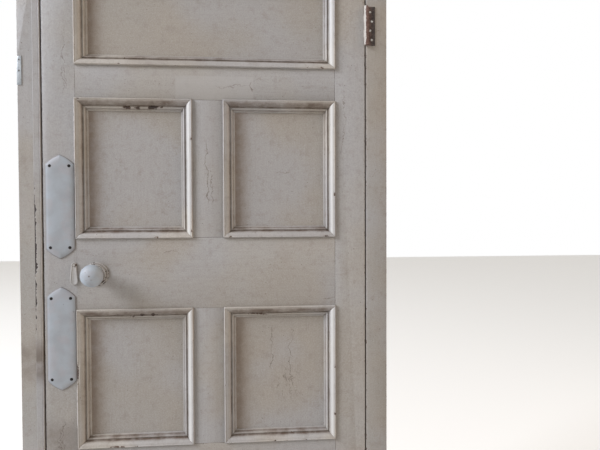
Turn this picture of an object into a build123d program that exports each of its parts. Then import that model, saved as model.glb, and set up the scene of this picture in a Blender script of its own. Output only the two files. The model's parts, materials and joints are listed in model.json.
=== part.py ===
"""A seven-panelled front door hung in its frame.

The leaf is framed joinery: two stiles, five rails and three muntins, with flat panels in
grooves and mitred bolection mouldings lapping over the framing. It hangs on two butt hinges
and has a mortice lock, china knobs, a drop-covered keyhole and two finger plates.

Millimetres. +Z is up, X runs across the doorway and -Y is the side that the door opens to.
The origin is under the middle of the threshold.
"""

from build123d import *
import math
import os

os.makedirs("parts", exist_ok=True)

# The leaf and its framing.
leaf_width = 813.0
leaf_height = 1981.0
leaf_thickness = 44.0
stile_width = 80.0
muntin_width = 81.0
top_rail_height = 92.0
frieze_opening_height = 223.0
frieze_rail_height = 86.0
lock_rail_height = 182.0
lower_rail_height = 86.0
bottom_rail_height = 265.0

# Joints inside the leaf.
groove_depth = 12.0
panel_tongue = 9.0
panel_thickness = 12.0
panel_recess = 15.0
groove_clearance = 0.1
tenon_thickness = 14.0
stile_beyond_tenon = 23.0
tenon_land = 1.0
muntin_tenon_length = 20.0
lock_land = 6.0
joint_clearance = 0.2

# Bolection moulding on the front, from its outer lip in to the panel.
moulding_lap = 2.0
lip_width = 4.0
lip_height = 6.5
lip_bevel = 1.2
lip_step = 1.5
ovolo_width = 12.5
ovolo_fall = 8.5
ovolo_bulge = 1.6
quirk_width = 2.5
quirk_depth = 3.0
bead_width = 5.0
bead_rise = 1.7
fillet_width = 6.0
fillet_height = 3.0

# Planted moulding on the back, flush with the framing.
back_moulding_width = 16.0
back_moulding_edge = 4.0

# Low cover bead on the closing jamb's face, beside the leaf.
cover_bead_width = 18.5
cover_bead_height = 2.5
cover_bead_round = 1.2

# The frame.
frame_depth = 100.0
jamb_width = 55.0
head_height = 55.0
threshold_height = 30.0
threshold_chamfer = 6.0
frame_tenon_length = 22.0
frame_tenon_inset = 11.0
frame_tenon_thickness = 30.0
leaf_stand = 0.5
door_gap = 3.0
bottom_gap = 4.0
stop_thickness = 12.0
stop_depth = 30.0
stop_gap = 2.0

# Galvanised angle plate on the closing jamb's outer arris, its side let in flush.
fixing_plate_height = 71.0
fixing_plate_drop = 299.0
fixing_plate_front = 11.0
fixing_plate_side = 30.0
fixing_plate_thickness = 1.5
fixing_hole_radius = 2.2
fixing_hole_drops = (9.0, 36.0)
fixing_screw_inset = 14.0

# Butt hinges.
hinge_height = 100.0
hinge_drop = 153.0
hinge_rise = 229.0
hinge_flap_reach = 24.0
hinge_flap_thickness = 2.5
knuckle_radius = 5.5
knuckle_count = 5
knuckle_gap = 0.3
pin_radius = 3.0
pin_clearance = 0.05
knuckle_clearance = 0.4
hinge_screw_count = 4
hinge_screw_inset = 14.0
hinge_screw_near = 11.0
hinge_screw_far = 15.5

# Countersunk screws.
screw_head_radius = 3.4
screw_head_height = 2.5
screw_shank_radius = 1.8
screw_length = 16.0
screw_clearance = 0.05
screw_sides = 6

# Horizontal mortice lock. Bolt levels are measured inside its case.
lock_case_beyond_spindle = 22.0
lock_case_height = 72.0
lock_case_thickness = 16.0
lock_wall = 2.0
spindle_backset = 128.0
key_backset = 73.5
forend_thickness = 3.0
forend_width = 22.0
forend_lap = 18.0
forend_screw_inset = 8.0
bolt_thickness = 10.0
bolt_height = 21.0
bolt_clearance = 0.3
bolt_head_length = 42.0
bolt_throw = 13.0
latch_below_case = 5.0
latch_nose_length = 9.0
latch_nose_width = 8.0
latch_tail_height = 5.5
dead_bolt_above_case = 4.0
dead_tail_rise = 6.0
dead_tail_height = 8.0
dead_tail_beyond_key = 26.5
talon_width = 9.0
talon_depth = 4.0
cam_radius = 18.0
cam_half_width = 3.0
cam_swing = 45.0
cam_clearance = 0.6
cam_tail_gap = 1.5
hook_width = 6.0
hook_drop = 4.0
hub_radius = 9.0
hub_clearance = 0.05
spindle_size = 8.0
spindle_clearance = 0.05
spindle_hole_radius = 7.5
spindle_in_neck = 18.0
spindle_end_gap = 0.5
keyhole_radius = 3.5
keyhole_width = 4.5
keyhole_drop = 14.0

# Strike plate in the closing jamb.
strike_height = 110.0
strike_width = 30.0
strike_thickness = 2.5
strike_screw_inset = 8.0
keep_beyond_bolt = 4.0
keep_clearance = 1.5

# Roses and knobs.
rose_radius = 30.0
rose_thickness = 9.0
rose_edge = 2.5
rose_step_radius = 23.5
rose_step = 6.0
rose_hollow = 0.8
rose_boss_radius = 14.0
neck_radius = 9.0
neck_clearance = 0.05
neck_in_rose = 7.0
neck_gap = 0.6
neck_length = 9.0
neck_collar_radius = 12.5
neck_in_knob = 14.0
knob_radius = 27.5
knob_rear_depth = 21.0
knob_front_depth = 20.0

# Keyhole plates and the drop cover.
pivot_rise = 23.5
pivot_radius = 2.0
pivot_clearance = 0.05
pivot_head_radius = 3.2
pivot_head_thickness = 1.0
cover_head_radius = 6.7
cover_foot_radius = 10.3
cover_length = 40.0
cover_thickness = 2.0
cover_gap = 0.3
escutcheon_thickness = 2.0
escutcheon_inset = 0.8

# Finger plates.
plate_width = 71.0
plate_height = 261.0
plate_point = 25.0
plate_bulge = 2.6
plate_thickness = 5.0
plate_bevel = 2.2
plate_edge_offset = 41.5
plate_upper_clear = 39.0
plate_lower_clear = 31.0
plate_screw_side = 12.0
plate_screw_end = 28.5

# How far a cutting shape runs past the face that it opens.
cut_margin = 1.0

# Places worked out from the sizes.
leaf_left = -leaf_width / 2
leaf_right = leaf_width / 2
leaf_bottom = threshold_height + bottom_gap
leaf_top = leaf_bottom + leaf_height
frame_front = -frame_depth / 2
frame_back = frame_depth / 2
leaf_front = frame_front - leaf_stand
leaf_back = leaf_front + leaf_thickness
leaf_middle = (leaf_front + leaf_back) / 2
doorway_left = leaf_left - door_gap
doorway_right = leaf_right + door_gap
frame_left = doorway_left - jamb_width
frame_right = doorway_right + jamb_width
head_bottom = leaf_top + door_gap
frame_top = head_bottom + head_height
opening_left = leaf_left + stile_width
opening_right = leaf_right - stile_width
panel_front = leaf_front + panel_recess
panel_back = panel_front + panel_thickness
tenon_shoulder = groove_depth + tenon_land
tenon_length = stile_width - stile_beyond_tenon
hinge_x = leaf_right - hinge_flap_thickness + knuckle_radius
hinge_y = frame_front - knuckle_radius - knuckle_clearance


def stack_rails():
    """Works down the leaf and returns each rail's and each row of panels' low and high Z.

    The three rows of paired panels share the height that the rails and the frieze leave.
    """
    rails_height = top_rail_height + frieze_rail_height + lock_rail_height
    rails_height += lower_rail_height + bottom_rail_height
    pair_opening_height = (leaf_height - rails_height - frieze_opening_height) / len(pair_rows)
    rails = {}
    rows = {}
    level = leaf_top
    steps = (
        ("top_rail", top_rail_height, "frieze", frieze_opening_height),
        ("frieze_rail", frieze_rail_height, "upper", pair_opening_height),
        ("lock_rail", lock_rail_height, "middle", pair_opening_height),
        ("lower_rail", lower_rail_height, "lower", pair_opening_height),
    )
    for rail, rail_height, row, row_height in steps:
        rails[rail] = (level - rail_height, level)
        level -= rail_height
        rows[row] = (level - row_height, level)
        level -= row_height
    rails["bottom_rail"] = (leaf_bottom, level)
    return rails, rows


pair_rows = ("upper", "middle", "lower")
rail_levels, row_levels = stack_rails()
lock_z = sum(rail_levels["lock_rail"]) / 2
spindle_x = leaf_left + spindle_backset
key_x = leaf_left + key_backset
pivot_z = lock_z + pivot_rise

# Each panel opening: its X range and its Z range.
openings = {"frieze": ((opening_left, opening_right), row_levels["frieze"])}
for row in pair_rows:
    openings[row + "_left"] = ((opening_left, -muntin_width / 2), row_levels[row])
    openings[row + "_right"] = ((muntin_width / 2, opening_right), row_levels[row])


def save(node, *solids):
    """Writes one named piece, or one named group of like pieces."""
    shape = solids[0] if len(solids) == 1 else Compound(children=list(solids))
    export_step(shape, os.path.join("parts", node + ".step"))


def block(x, y, z):
    """A box between two X, two Y and two Z values."""
    corner = (Align.MIN, Align.MIN, Align.MIN)
    return Pos(x[0], y[0], z[0]) * Box(x[1] - x[0], y[1] - y[0], z[1] - z[0], align=corner)


def grown(span, amount):
    """A pair of values, each moved outwards."""
    return (span[0] - amount, span[1] + amount)


# A cylinder stands on the middle of its end.
on_end = (Align.CENTER, Align.CENTER, Align.MIN)


def rod_y(x, z, radius, y):
    """A cylinder along Y between two Y values."""
    rod = Cylinder(radius, y[1] - y[0], align=on_end)
    return Pos(x, y[0], z) * Rot(-90, 0, 0) * rod


def rod_z(x, y, radius, z):
    """An upright cylinder between two Z values."""
    return Pos(x, y, z[0]) * Cylinder(radius, z[1] - z[0], align=on_end)


def plate_y(face, y):
    """A flat outline drawn in X and Z, made solid between two Y values."""
    return extrude(Plane.XZ.offset(-y[1]) * face, amount=y[1] - y[0])


def turned_y(edges, x, z, y):
    """Edges drawn as radius and distance towards the front, turned round a Y axis."""
    upside_down = Plane(origin=(0, 0, 0), x_dir=(1, 0, 0), z_dir=(0, 0, -1))
    return Pos(x, y, z) * revolve(upside_down * make_face(edges), Axis.Y)


def on_back(solid):
    """The same piece on the other face of the leaf."""
    return mirror(solid, about=Plane(origin=(0, leaf_middle, 0), z_dir=(0, 1, 0)))


def screw_shape(extra):
    """A countersunk screw along +Y, its head's face at the origin, grown by extra for its hole.

    It has few sides, so that all the screws and their holes together stay light.
    """
    neck_plane = Plane.XZ.offset(-screw_head_height)
    head = Plane.XZ * RegularPolygon(screw_head_radius + extra, screw_sides)
    shank = neck_plane * RegularPolygon(screw_shank_radius + extra, screw_sides)
    shank_length = screw_length + extra - screw_head_height
    return loft([head, shank]) + extrude(shank, amount=-shank_length)


screw = screw_shape(0)
screw_hole = screw_shape(screw_clearance)

# Which way a screw's head faces, as a turn about Z.
faces_front = 0
faces_left = -90
faces_right = 90


def at_screws(shape, places, turn):
    """Copies of a screw or its hole at each place, its head facing the same way."""
    return [Pos(*place) * Rot(0, 0, turn) * shape for place in places]


def drill(solid, places, turn):
    """Cuts the holes of a set of screws."""
    for hole in at_screws(screw_hole, places, turn):
        solid -= hole
    return solid


def hinge_levels():
    """The low Z of each hinge, the lower one first."""
    return (leaf_bottom + hinge_rise, leaf_top - hinge_drop - hinge_height)


def hinge_screw_offsets():
    """How far each screw is from the pin and up the flap, staggered near and far."""
    pitch = (hinge_height - 2 * hinge_screw_inset) / (hinge_screw_count - 1)
    reaches = (hinge_screw_near, hinge_screw_far)
    return [
        (reaches[index % 2], hinge_height - hinge_screw_inset - index * pitch)
        for index in range(hinge_screw_count)
    ]


frame_flap_screws = [
    (hinge_x + reach, frame_front - hinge_flap_thickness, low + rise)
    for low in hinge_levels()
    for reach, rise in hinge_screw_offsets()
]
leaf_flap_screws = [
    (leaf_right, hinge_y + reach, low + rise)
    for low in hinge_levels()
    for reach, rise in hinge_screw_offsets()
]
strike_z = (lock_z - strike_height / 2, lock_z + strike_height / 2)
strike_screws = [(doorway_left, leaf_middle, level) for level in grown(strike_z, -strike_screw_inset)]
case_z = (lock_z - lock_case_height / 2, lock_z + lock_case_height / 2)
forend_z = grown(case_z, forend_lap)
forend_screws = [(leaf_left, leaf_middle, level) for level in grown(forend_z, -forend_screw_inset)]
fixing_top = leaf_top - fixing_plate_drop
fixing_z = (fixing_top - fixing_plate_height, fixing_top)
fixing_screw_y = frame_front + fixing_plate_side / 2
fixing_screws = [
    (frame_left, fixing_screw_y, level)
    for level in grown(fixing_z, -fixing_screw_inset)
]
plate_centres = {
    "finger_plate_upper": lock_z + plate_upper_clear + plate_height / 2,
    "finger_plate_lower": lock_z - plate_lower_clear - plate_height / 2,
}
plate_x = leaf_left + plate_edge_offset
finger_plate_screws = [
    (x, leaf_front - plate_thickness, z)
    for centre in plate_centres.values()
    for x in grown((plate_x, plate_x), plate_width / 2 - plate_screw_side)
    for z in grown((centre, centre), plate_height / 2 - plate_screw_end)
]

latch_top = case_z[1] - lock_wall - latch_below_case
latch_span = (latch_top - bolt_height, latch_top)
dead_bottom = case_z[0] + lock_wall + dead_bolt_above_case
dead_span = (dead_bottom, dead_bottom + bolt_height)
bolt_y = (leaf_middle - bolt_thickness / 2, leaf_middle + bolt_thickness / 2)
case_y = (leaf_middle - lock_case_thickness / 2, leaf_middle + lock_case_thickness / 2)
forend_y = (leaf_middle - forend_width / 2, leaf_middle + forend_width / 2)
inner_x = leaf_left + forend_thickness
case_x = (inner_x, spindle_x + lock_case_beyond_spindle)


def keep_tools():
    """The two pockets in the jamb that the bolts run into."""
    reach = (doorway_left - bolt_throw - keep_beyond_bolt, doorway_left + cut_margin)
    keep_y = grown(bolt_y, keep_clearance)
    return [block(reach, keep_y, grown(span, keep_clearance)) for span in (latch_span, dead_span)]


def make_frame():
    """Jambs tenoned into the head and the threshold, planted stops, strike and fixing plate."""
    across = (frame_left, frame_right)
    depth = (frame_front, frame_back)
    tenon_y = (-frame_tenon_thickness / 2, frame_tenon_thickness / 2)
    sides = {"closing": (frame_left, doorway_left), "hinge": (doorway_right, frame_right)}
    head = block(across, depth, (head_bottom, frame_top))
    threshold = block(across, depth, (0, threshold_height))
    nosing = threshold.edges().filter_by(Axis.X).sort_by(lambda edge: edge.center().Z - edge.center().Y)[-1]
    threshold = chamfer(nosing, threshold_chamfer)
    jambs = {}
    for side, x in sides.items():
        jamb = block(x, depth, (threshold_height, head_bottom))
        tenon_x = grown(x, -frame_tenon_inset)
        tenon_z = grown((threshold_height, head_bottom), frame_tenon_length)
        jamb += block(tenon_x, tenon_y, tenon_z)
        mortise_z = grown(tenon_z, joint_clearance)
        mortise = block(grown(tenon_x, joint_clearance), grown(tenon_y, joint_clearance), mortise_z)
        head -= mortise
        threshold -= mortise
        jambs[side] = jamb

    strike_y = (leaf_middle - strike_width / 2, leaf_middle + strike_width / 2)
    strike = block((doorway_left - strike_thickness, doorway_left), strike_y, strike_z)
    closing = jambs["closing"] - strike
    for tool in keep_tools():
        strike -= tool
        closing -= tool
    strike = drill(strike, strike_screws, faces_right)
    closing = drill(closing, strike_screws, faces_right)
    hinge = drill(jambs["hinge"], frame_flap_screws, faces_front)

    outer_y = frame_front - fixing_plate_thickness
    side_x = (frame_left, frame_left + fixing_plate_thickness)
    fixing = block(side_x, (outer_y, frame_front + fixing_plate_side), fixing_z)
    closing -= fixing
    fixing += block((frame_left, frame_left + fixing_plate_front), (outer_y, frame_front), fixing_z)
    fixing = drill(fixing, fixing_screws, faces_left)
    closing = drill(closing, fixing_screws, faces_left)
    for drop in fixing_hole_drops:
        hole_x = frame_left + fixing_plate_front / 2
        fixing -= rod_y(hole_x, fixing_top - drop, fixing_hole_radius, (outer_y, frame_front))

    stop_y = (leaf_back + stop_gap, leaf_back + stop_gap + stop_depth)
    stop_top = head_bottom - stop_thickness
    side_z = (threshold_height, stop_top)
    save("closing_jamb", closing)
    save("hinge_jamb", hinge)
    save("frame_head", head)
    save("threshold", threshold)
    save("stop_closing", block((doorway_left, doorway_left + stop_thickness), stop_y, side_z))
    save("stop_hinge", block((doorway_right - stop_thickness, doorway_right), stop_y, side_z))
    save("stop_head", block((doorway_left, doorway_right), stop_y, (stop_top, head_bottom)))
    save("strike_plate", strike)
    save("fixing_plate", fixing)
    bead_x = (doorway_left - cover_bead_width, doorway_left)
    bead_y = (frame_front - cover_bead_height, frame_front)
    bead = block(bead_x, bead_y, (threshold_height, head_bottom))
    arrises = bead.edges().filter_by(Axis.Z).sort_by(Axis.Y)[:2]
    save("cover_bead", fillet(arrises, cover_bead_round))
    screws = at_screws(screw, frame_flap_screws, faces_front)
    screws += at_screws(screw, strike_screws, faces_right)
    screws += at_screws(screw, fixing_screws, faces_left)
    save("frame_screws", *screws)


def panel_pocket(x, z):
    """The groove all round one opening, as one flat block that reaches into the framing."""
    y = grown((panel_front, panel_back), groove_clearance)
    return block(grown(x, groove_depth), y, grown(z, groove_depth))


def rail_tenon_levels(rail):
    """Z ranges of a rail's tenons. The lock rail has two, above and below the lock."""
    low, high = rail_levels[rail]
    if rail == "lock_rail":
        height = (high - low - lock_case_height) / 2 - tenon_shoulder - lock_land
        bottom = low + tenon_shoulder
        top = high - tenon_shoulder
        return [(bottom, bottom + height), (top - height, top)]
    return [(low + tenon_shoulder, high - tenon_shoulder)]


def lock_tools():
    """What the lock needs cut away: its mortise, the forend's recess, spindle hole and keyhole."""
    mortise_x = (leaf_left, case_x[1] + joint_clearance)
    return [
        block(mortise_x, grown(case_y, joint_clearance), grown(case_z, joint_clearance)),
        block((leaf_left, inner_x), forend_y, forend_z),
        rod_y(spindle_x, lock_z, spindle_hole_radius, (leaf_front, leaf_back)),
        keyhole_tool((leaf_front, leaf_back)),
    ]


def keyhole_tool(y):
    """A keyhole: a round top over a narrower slot."""
    half = keyhole_width / 2
    slot = block((key_x - half, key_x + half), y, (lock_z - keyhole_drop, lock_z))
    return rod_y(key_x, lock_z, keyhole_radius, y) + slot


def make_framing():
    """Stiles, rails and muntins, cut for one another, for the panels and for the lock."""
    full_y = (leaf_front, leaf_back)
    tenon_y = (leaf_middle - tenon_thickness / 2, leaf_middle + tenon_thickness / 2)
    mortise_y = grown(tenon_y, joint_clearance)
    tenon_x = grown((opening_left, opening_right), tenon_length)
    closing = block((leaf_left, opening_left), full_y, (leaf_bottom, leaf_top))
    hinge = block((opening_right, leaf_right), full_y, (leaf_bottom, leaf_top))
    rails = {}
    for name, z in rail_levels.items():
        rail = block((opening_left, opening_right), full_y, z)
        for tenon_z in rail_tenon_levels(name):
            rail += block(tenon_x, tenon_y, tenon_z)
            mortise = block(grown(tenon_x, joint_clearance), mortise_y, grown(tenon_z, joint_clearance))
            closing -= mortise
            hinge -= mortise
        rails[name] = rail

    muntins = {}
    between = {"upper": ("frieze_rail", "lock_rail"), "middle": ("lock_rail", "lower_rail")}
    between["lower"] = ("lower_rail", "bottom_rail")
    half = muntin_width / 2
    for row, neighbours in between.items():
        z = row_levels[row]
        tenon_half = half - tenon_shoulder
        stub_x = (-tenon_half, tenon_half)
        stub_z = grown(z, muntin_tenon_length)
        muntin = block((-half, half), full_y, z) + block(stub_x, tenon_y, stub_z)
        socket = block(grown(stub_x, joint_clearance), mortise_y, grown(stub_z, joint_clearance))
        for rail in neighbours:
            rails[rail] -= socket
        muntins[row] = muntin

    for x, z in openings.values():
        pocket = panel_pocket(x, z)
        closing -= pocket
        hinge -= pocket
        for name in rails:
            rails[name] -= pocket
        for name in muntins:
            muntins[name] -= pocket

    for tool in lock_tools():
        closing -= tool
        rails["lock_rail"] -= tool
    closing = drill(closing, forend_screws, faces_left)
    closing = drill(closing, finger_plate_screws, faces_front)
    for low in hinge_levels():
        flap_x = (leaf_right - hinge_flap_thickness, leaf_right)
        flap_y = (leaf_front, hinge_y + hinge_flap_reach)
        hinge -= block(flap_x, flap_y, (low, low + hinge_height))
    hinge = drill(hinge, leaf_flap_screws, faces_right)

    save("closing_stile", closing)
    save("hinge_stile", hinge)
    for name, rail in rails.items():
        save(name, rail)
    for name, muntin in muntins.items():
        save("muntin_" + name, muntin)


def make_panels():
    """Flat panels, their edges loose in the grooves."""
    thickness = (panel_front, panel_back)
    for name, (x, z) in openings.items():
        save("panel_" + name, block(grown(x, panel_tongue), thickness, grown(z, panel_tongue)))


def front_profile():
    """The bolection section: across from its outer edge, and up from the leaf's face.

    A bevelled lip laps the framing, an ovolo falls from it to a quirk, then come a rounded
    bead and a small fillet that rests on the panel.
    """
    lip_side = lip_height - lip_bevel
    ovolo_end = lip_width + ovolo_width
    quirk_end = ovolo_end + quirk_width
    bead_end = quirk_end + bead_width
    foot_end = bead_end + fillet_width
    ovolo_high = lip_height - lip_step
    ovolo_low = ovolo_high - ovolo_fall
    quirk_floor = ovolo_low - quirk_depth
    fillet_top = fillet_height - panel_recess
    ovolo_middle = (lip_width + ovolo_width / 2, (ovolo_high + ovolo_low) / 2 + ovolo_bulge)
    bead_middle = (quirk_end + bead_width / 2, quirk_floor + bead_rise)
    lip = Polyline(
        (moulding_lap, 0),
        (0, 0),
        (0, lip_side),
        (lip_bevel, lip_height),
        (lip_width - lip_bevel, lip_height),
        (lip_width, lip_side),
        (lip_width, ovolo_high),
    )
    foot = Polyline(
        (bead_end, quirk_floor),
        (bead_end, fillet_top),
        (foot_end, fillet_top),
        (foot_end, -panel_recess),
        (moulding_lap, -panel_recess),
        (moulding_lap, 0),
    )
    return make_face(
        [
            lip,
            ThreePointArc((lip_width, ovolo_high), ovolo_middle, (ovolo_end, ovolo_low)),
            Polyline((ovolo_end, ovolo_low), (ovolo_end, quirk_floor), (quirk_end, quirk_floor)),
            ThreePointArc((quirk_end, quirk_floor), bead_middle, (bead_end, quirk_floor)),
            foot,
        ]
    )


def back_profile():
    """The back moulding's section: a splay from the face down to the panel."""
    depth = leaf_back - panel_back
    edge = back_moulding_edge
    width = back_moulding_width
    return make_face(Polyline((0, 0), (edge, 0), (width, edge - depth), (width, -depth), (0, -depth), (0, 0)))


def mitred_lengths(section, x, z, width, face_y, towards):
    """Four lengths of one section round a rectangle, their ends mitred.

    The section's first direction points into the rectangle and its second points away from
    the leaf: towards is -1 on the front and 1 on the back.
    """
    outward = Vector(0, towards, 0)
    middle = ((x[0] + x[1]) / 2, (z[0] + z[1]) / 2)
    reach = (leaf_front - leaf_thickness, leaf_back + leaf_thickness)
    length_x = x[1] - x[0]
    length_z = z[1] - z[0]

    inward = Vector(0, 0, 1)
    along = inward.cross(outward)
    start = x[0] if along.X > 0 else x[1]
    end = Plane(origin=(start, face_y, z[0]), x_dir=inward, z_dir=along)
    foot = extrude(end * section, amount=length_x)
    wedge = Polyline(
        (x[0], z[0]),
        (x[1], z[0]),
        (x[1] - width, z[0] + width),
        (x[0] + width, z[0] + width),
        close=True,
    )
    foot &= plate_y(make_face(wedge), reach)

    inward = Vector(1, 0, 0)
    along = inward.cross(outward)
    start = z[0] if along.Z > 0 else z[1]
    end = Plane(origin=(x[0], face_y, start), x_dir=inward, z_dir=along)
    side = extrude(end * section, amount=length_z)
    wedge = Polyline(
        (x[0], z[0]),
        (x[0] + width, z[0] + width),
        (x[0] + width, z[1] - width),
        (x[0], z[1]),
        close=True,
    )
    side &= plate_y(make_face(wedge), reach)

    over = Plane(origin=(0, 0, middle[1]), z_dir=(0, 0, 1))
    across = Plane(origin=(middle[0], 0, 0), z_dir=(1, 0, 0))
    return [foot, mirror(foot, about=over), side, mirror(side, about=across)]


def make_mouldings():
    """Bolection mouldings on the front of the leaf and planted ones on its back."""
    front = front_profile()
    back = back_profile()
    front_width = lip_width + ovolo_width + quirk_width + bead_width + fillet_width
    back_lengths = []
    for name, (x, z) in openings.items():
        outer_x = grown(x, moulding_lap)
        outer_z = grown(z, moulding_lap)
        lengths = mitred_lengths(front, outer_x, outer_z, front_width, leaf_front, -1)
        save("moulding_" + name, *lengths)
        back_lengths += mitred_lengths(back, x, z, back_moulding_width, leaf_back, 1)
    save("back_mouldings", *back_lengths)


def knuckle_spans(low):
    """Z ranges of a hinge's knuckles, from the bottom, with a running gap between them."""
    pitch = hinge_height / knuckle_count
    bottoms = [low + index * pitch for index in range(knuckle_count)]
    return [grown((bottom, bottom + pitch), -knuckle_gap / 2) for bottom in bottoms]


def make_hinges():
    """Two butt hinges. The frame's flap lies on the jamb's face, the leaf's on the leaf's edge."""
    clear = knuckle_radius + knuckle_clearance
    for name, low in zip(("lower", "upper"), hinge_levels()):
        z = (low, low + hinge_height)
        flap_y = (frame_front - hinge_flap_thickness, frame_front)
        frame_flap = block((hinge_x + clear, hinge_x + hinge_flap_reach), flap_y, z)
        flap_x = (leaf_right - hinge_flap_thickness, leaf_right)
        leaf_flap = block(flap_x, (hinge_y + clear, hinge_y + hinge_flap_reach), z)
        for index, span in enumerate(knuckle_spans(low)):
            knuckle = rod_z(hinge_x, hinge_y, knuckle_radius, span)
            if index % 2 == 0:
                frame_flap += knuckle + block((hinge_x, hinge_x + clear), flap_y, span)
            else:
                leaf_flap += knuckle + block(flap_x, (hinge_y, hinge_y + clear), span)
        bore = rod_z(hinge_x, hinge_y, pin_radius + pin_clearance, grown(z, cut_margin))
        pin = rod_z(hinge_x, hinge_y, pin_radius, z)
        save("hinge_" + name + "_frame_flap", drill(frame_flap - bore, frame_flap_screws, faces_front))
        save("hinge_" + name + "_leaf_flap", drill(leaf_flap - bore, leaf_flap_screws, faces_right))
        save("hinge_" + name + "_pin", pin)


def make_lock():
    """The mortice lock: case, forend, latch with a hooked tail, dead bolt and follower."""
    case = block(case_x, case_y, case_z)
    case -= block(grown(case_x, -lock_wall), grown(case_y, -lock_wall), grown(case_z, -lock_wall))
    through = grown(case_y, cut_margin)
    case -= rod_y(spindle_x, lock_z, hub_radius + hub_clearance, through)
    case -= keyhole_tool(through)

    forend = block((leaf_left, inner_x), forend_y, forend_z)
    slot_x = (leaf_left, inner_x + lock_wall)
    for span in (latch_span, dead_span):
        slot = block(slot_x, grown(bolt_y, bolt_clearance), grown(span, bolt_clearance))
        forend -= slot
        case -= slot
    forend = drill(forend, forend_screws, faces_left)

    head_x = (leaf_left, leaf_left + bolt_head_length)
    latch = block(head_x, bolt_y, latch_span)
    nose = latch.edges().filter_by(Axis.Z).sort_by(lambda edge: edge.center().X - edge.center().Y)[0]
    latch = chamfer(nose, latch_nose_width, latch_nose_length)
    tip = cam_radius * math.sin(math.radians(cam_swing / 2))
    hook = spindle_x + tip + cam_half_width + cam_clearance
    hook_x = (hook, hook + hook_width)
    tail_bottom = lock_z + cam_radius + cam_tail_gap
    latch += block((head_x[1], hook_x[1]), bolt_y, (tail_bottom, tail_bottom + latch_tail_height))
    latch += block(hook_x, bolt_y, (tail_bottom - hook_drop, tail_bottom))

    dead_tail_bottom = dead_span[0] + dead_tail_rise
    dead_tail = (dead_tail_bottom, dead_tail_bottom + dead_tail_height)
    dead_bolt = block(head_x, bolt_y, dead_span)
    dead_bolt += block((head_x[1], key_x + dead_tail_beyond_key), bolt_y, dead_tail)
    talon_x = (key_x - talon_width / 2, key_x + talon_width / 2)
    dead_bolt -= block(talon_x, bolt_y, (dead_tail[1] - talon_depth, dead_tail[1]))

    follower = rod_y(0, 0, hub_radius, case_y)
    arm = block((-cam_half_width, cam_half_width), bolt_y, (0, cam_radius))
    follower += Rot(0, cam_swing / 2, 0) * arm
    follower = Pos(spindle_x, 0, lock_z) * follower
    follower -= square_bar(spindle_size + 2 * spindle_clearance, through)

    reach = rose_thickness + neck_gap + spindle_in_neck
    spindle = square_bar(spindle_size, (leaf_front - reach, leaf_back + reach))
    save("lock_case", case)
    save("lock_forend", forend)
    save("latch_bolt", latch)
    save("dead_bolt", dead_bolt)
    save("follower", follower)
    save("spindle", spindle)


def square_bar(size, y):
    """A square bar along the spindle's line, turned with the cam."""
    half = size / 2
    bar = Rot(0, cam_swing / 2, 0) * block((-half, half), y, (-half, half))
    return Pos(spindle_x, 0, lock_z) * bar


def make_knobs():
    """A rose, a metal neck and a china knob on each face of the leaf."""
    hole = neck_radius + neck_clearance
    cove_radius = (rose_step_radius + rose_boss_radius) / 2
    cove_middle = (cove_radius - rose_hollow, (rose_step + rose_thickness) / 2 - rose_hollow)
    rose_edges = [
        Polyline((hole, 0), (rose_radius, 0), (rose_radius, rose_edge), (rose_step_radius, rose_step)),
        ThreePointArc((rose_step_radius, rose_step), cove_middle, (rose_boss_radius, rose_thickness)),
        Polyline((rose_boss_radius, rose_thickness), (hole, rose_thickness), (hole, 0)),
    ]
    rose = turned_y(rose_edges, spindle_x, lock_z, leaf_front)

    collar = rose_thickness + neck_gap
    seat = collar + neck_length
    end = seat + neck_in_knob
    start = rose_thickness - neck_in_rose
    neck_outline = Polyline(
        (0, start),
        (neck_radius, start),
        (neck_radius, collar),
        (neck_collar_radius, seat),
        (neck_radius, seat),
        (neck_radius, end),
        (0, end),
        close=True,
    )
    neck = turned_y(neck_outline, spindle_x, lock_z, leaf_front)
    socket_y = (leaf_front - collar - spindle_in_neck - spindle_end_gap, leaf_front)
    neck -= square_bar(spindle_size + 2 * spindle_clearance, socket_y)

    widest = seat + knob_rear_depth
    front = widest + knob_front_depth
    collar_share = neck_collar_radius / knob_radius
    rear_depth = knob_rear_depth / math.sqrt(1 - collar_share**2)
    turn = math.degrees(math.acos(collar_share))
    diagonal = math.sqrt(0.5)
    dome_side = (knob_radius * diagonal, widest + knob_front_depth * diagonal)
    hole_end = end + neck_clearance
    knob_edges = [
        Spline((knob_radius, widest), dome_side, (0, front), tangents=((0, 1), (-1, 0))),
        EllipticalCenterArc((0, widest), knob_radius, rear_depth, start_angle=-turn, arc_size=turn),
        Polyline((neck_collar_radius, seat), (hole, seat), (hole, hole_end), (0, hole_end), (0, front)),
    ]
    knob = turned_y(knob_edges, spindle_x, lock_z, leaf_front)
    save("rose_front", rose)
    save("rose_back", on_back(rose))
    save("knob_necks", neck, on_back(neck))
    save("knob_front", knob)
    save("knob_back", on_back(knob))


def drop_outline(inset):
    """A drop: a small circle round the pivot and a larger one below, joined by tangents."""
    head = cover_head_radius - inset
    foot = cover_foot_radius - inset
    lean = math.asin((foot - head) / cover_length)
    head_x = head * math.cos(lean)
    head_z = head * math.sin(lean)
    foot_x = foot * math.cos(lean)
    foot_z = foot * math.sin(lean) - cover_length
    return make_face(
        [
            ThreePointArc((head_x, head_z), (0, head), (-head_x, head_z)),
            Line((-head_x, head_z), (-foot_x, foot_z)),
            ThreePointArc((-foot_x, foot_z), (0, -cover_length - foot), (foot_x, foot_z)),
            Line((foot_x, foot_z), (head_x, head_z)),
        ]
    )


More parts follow.
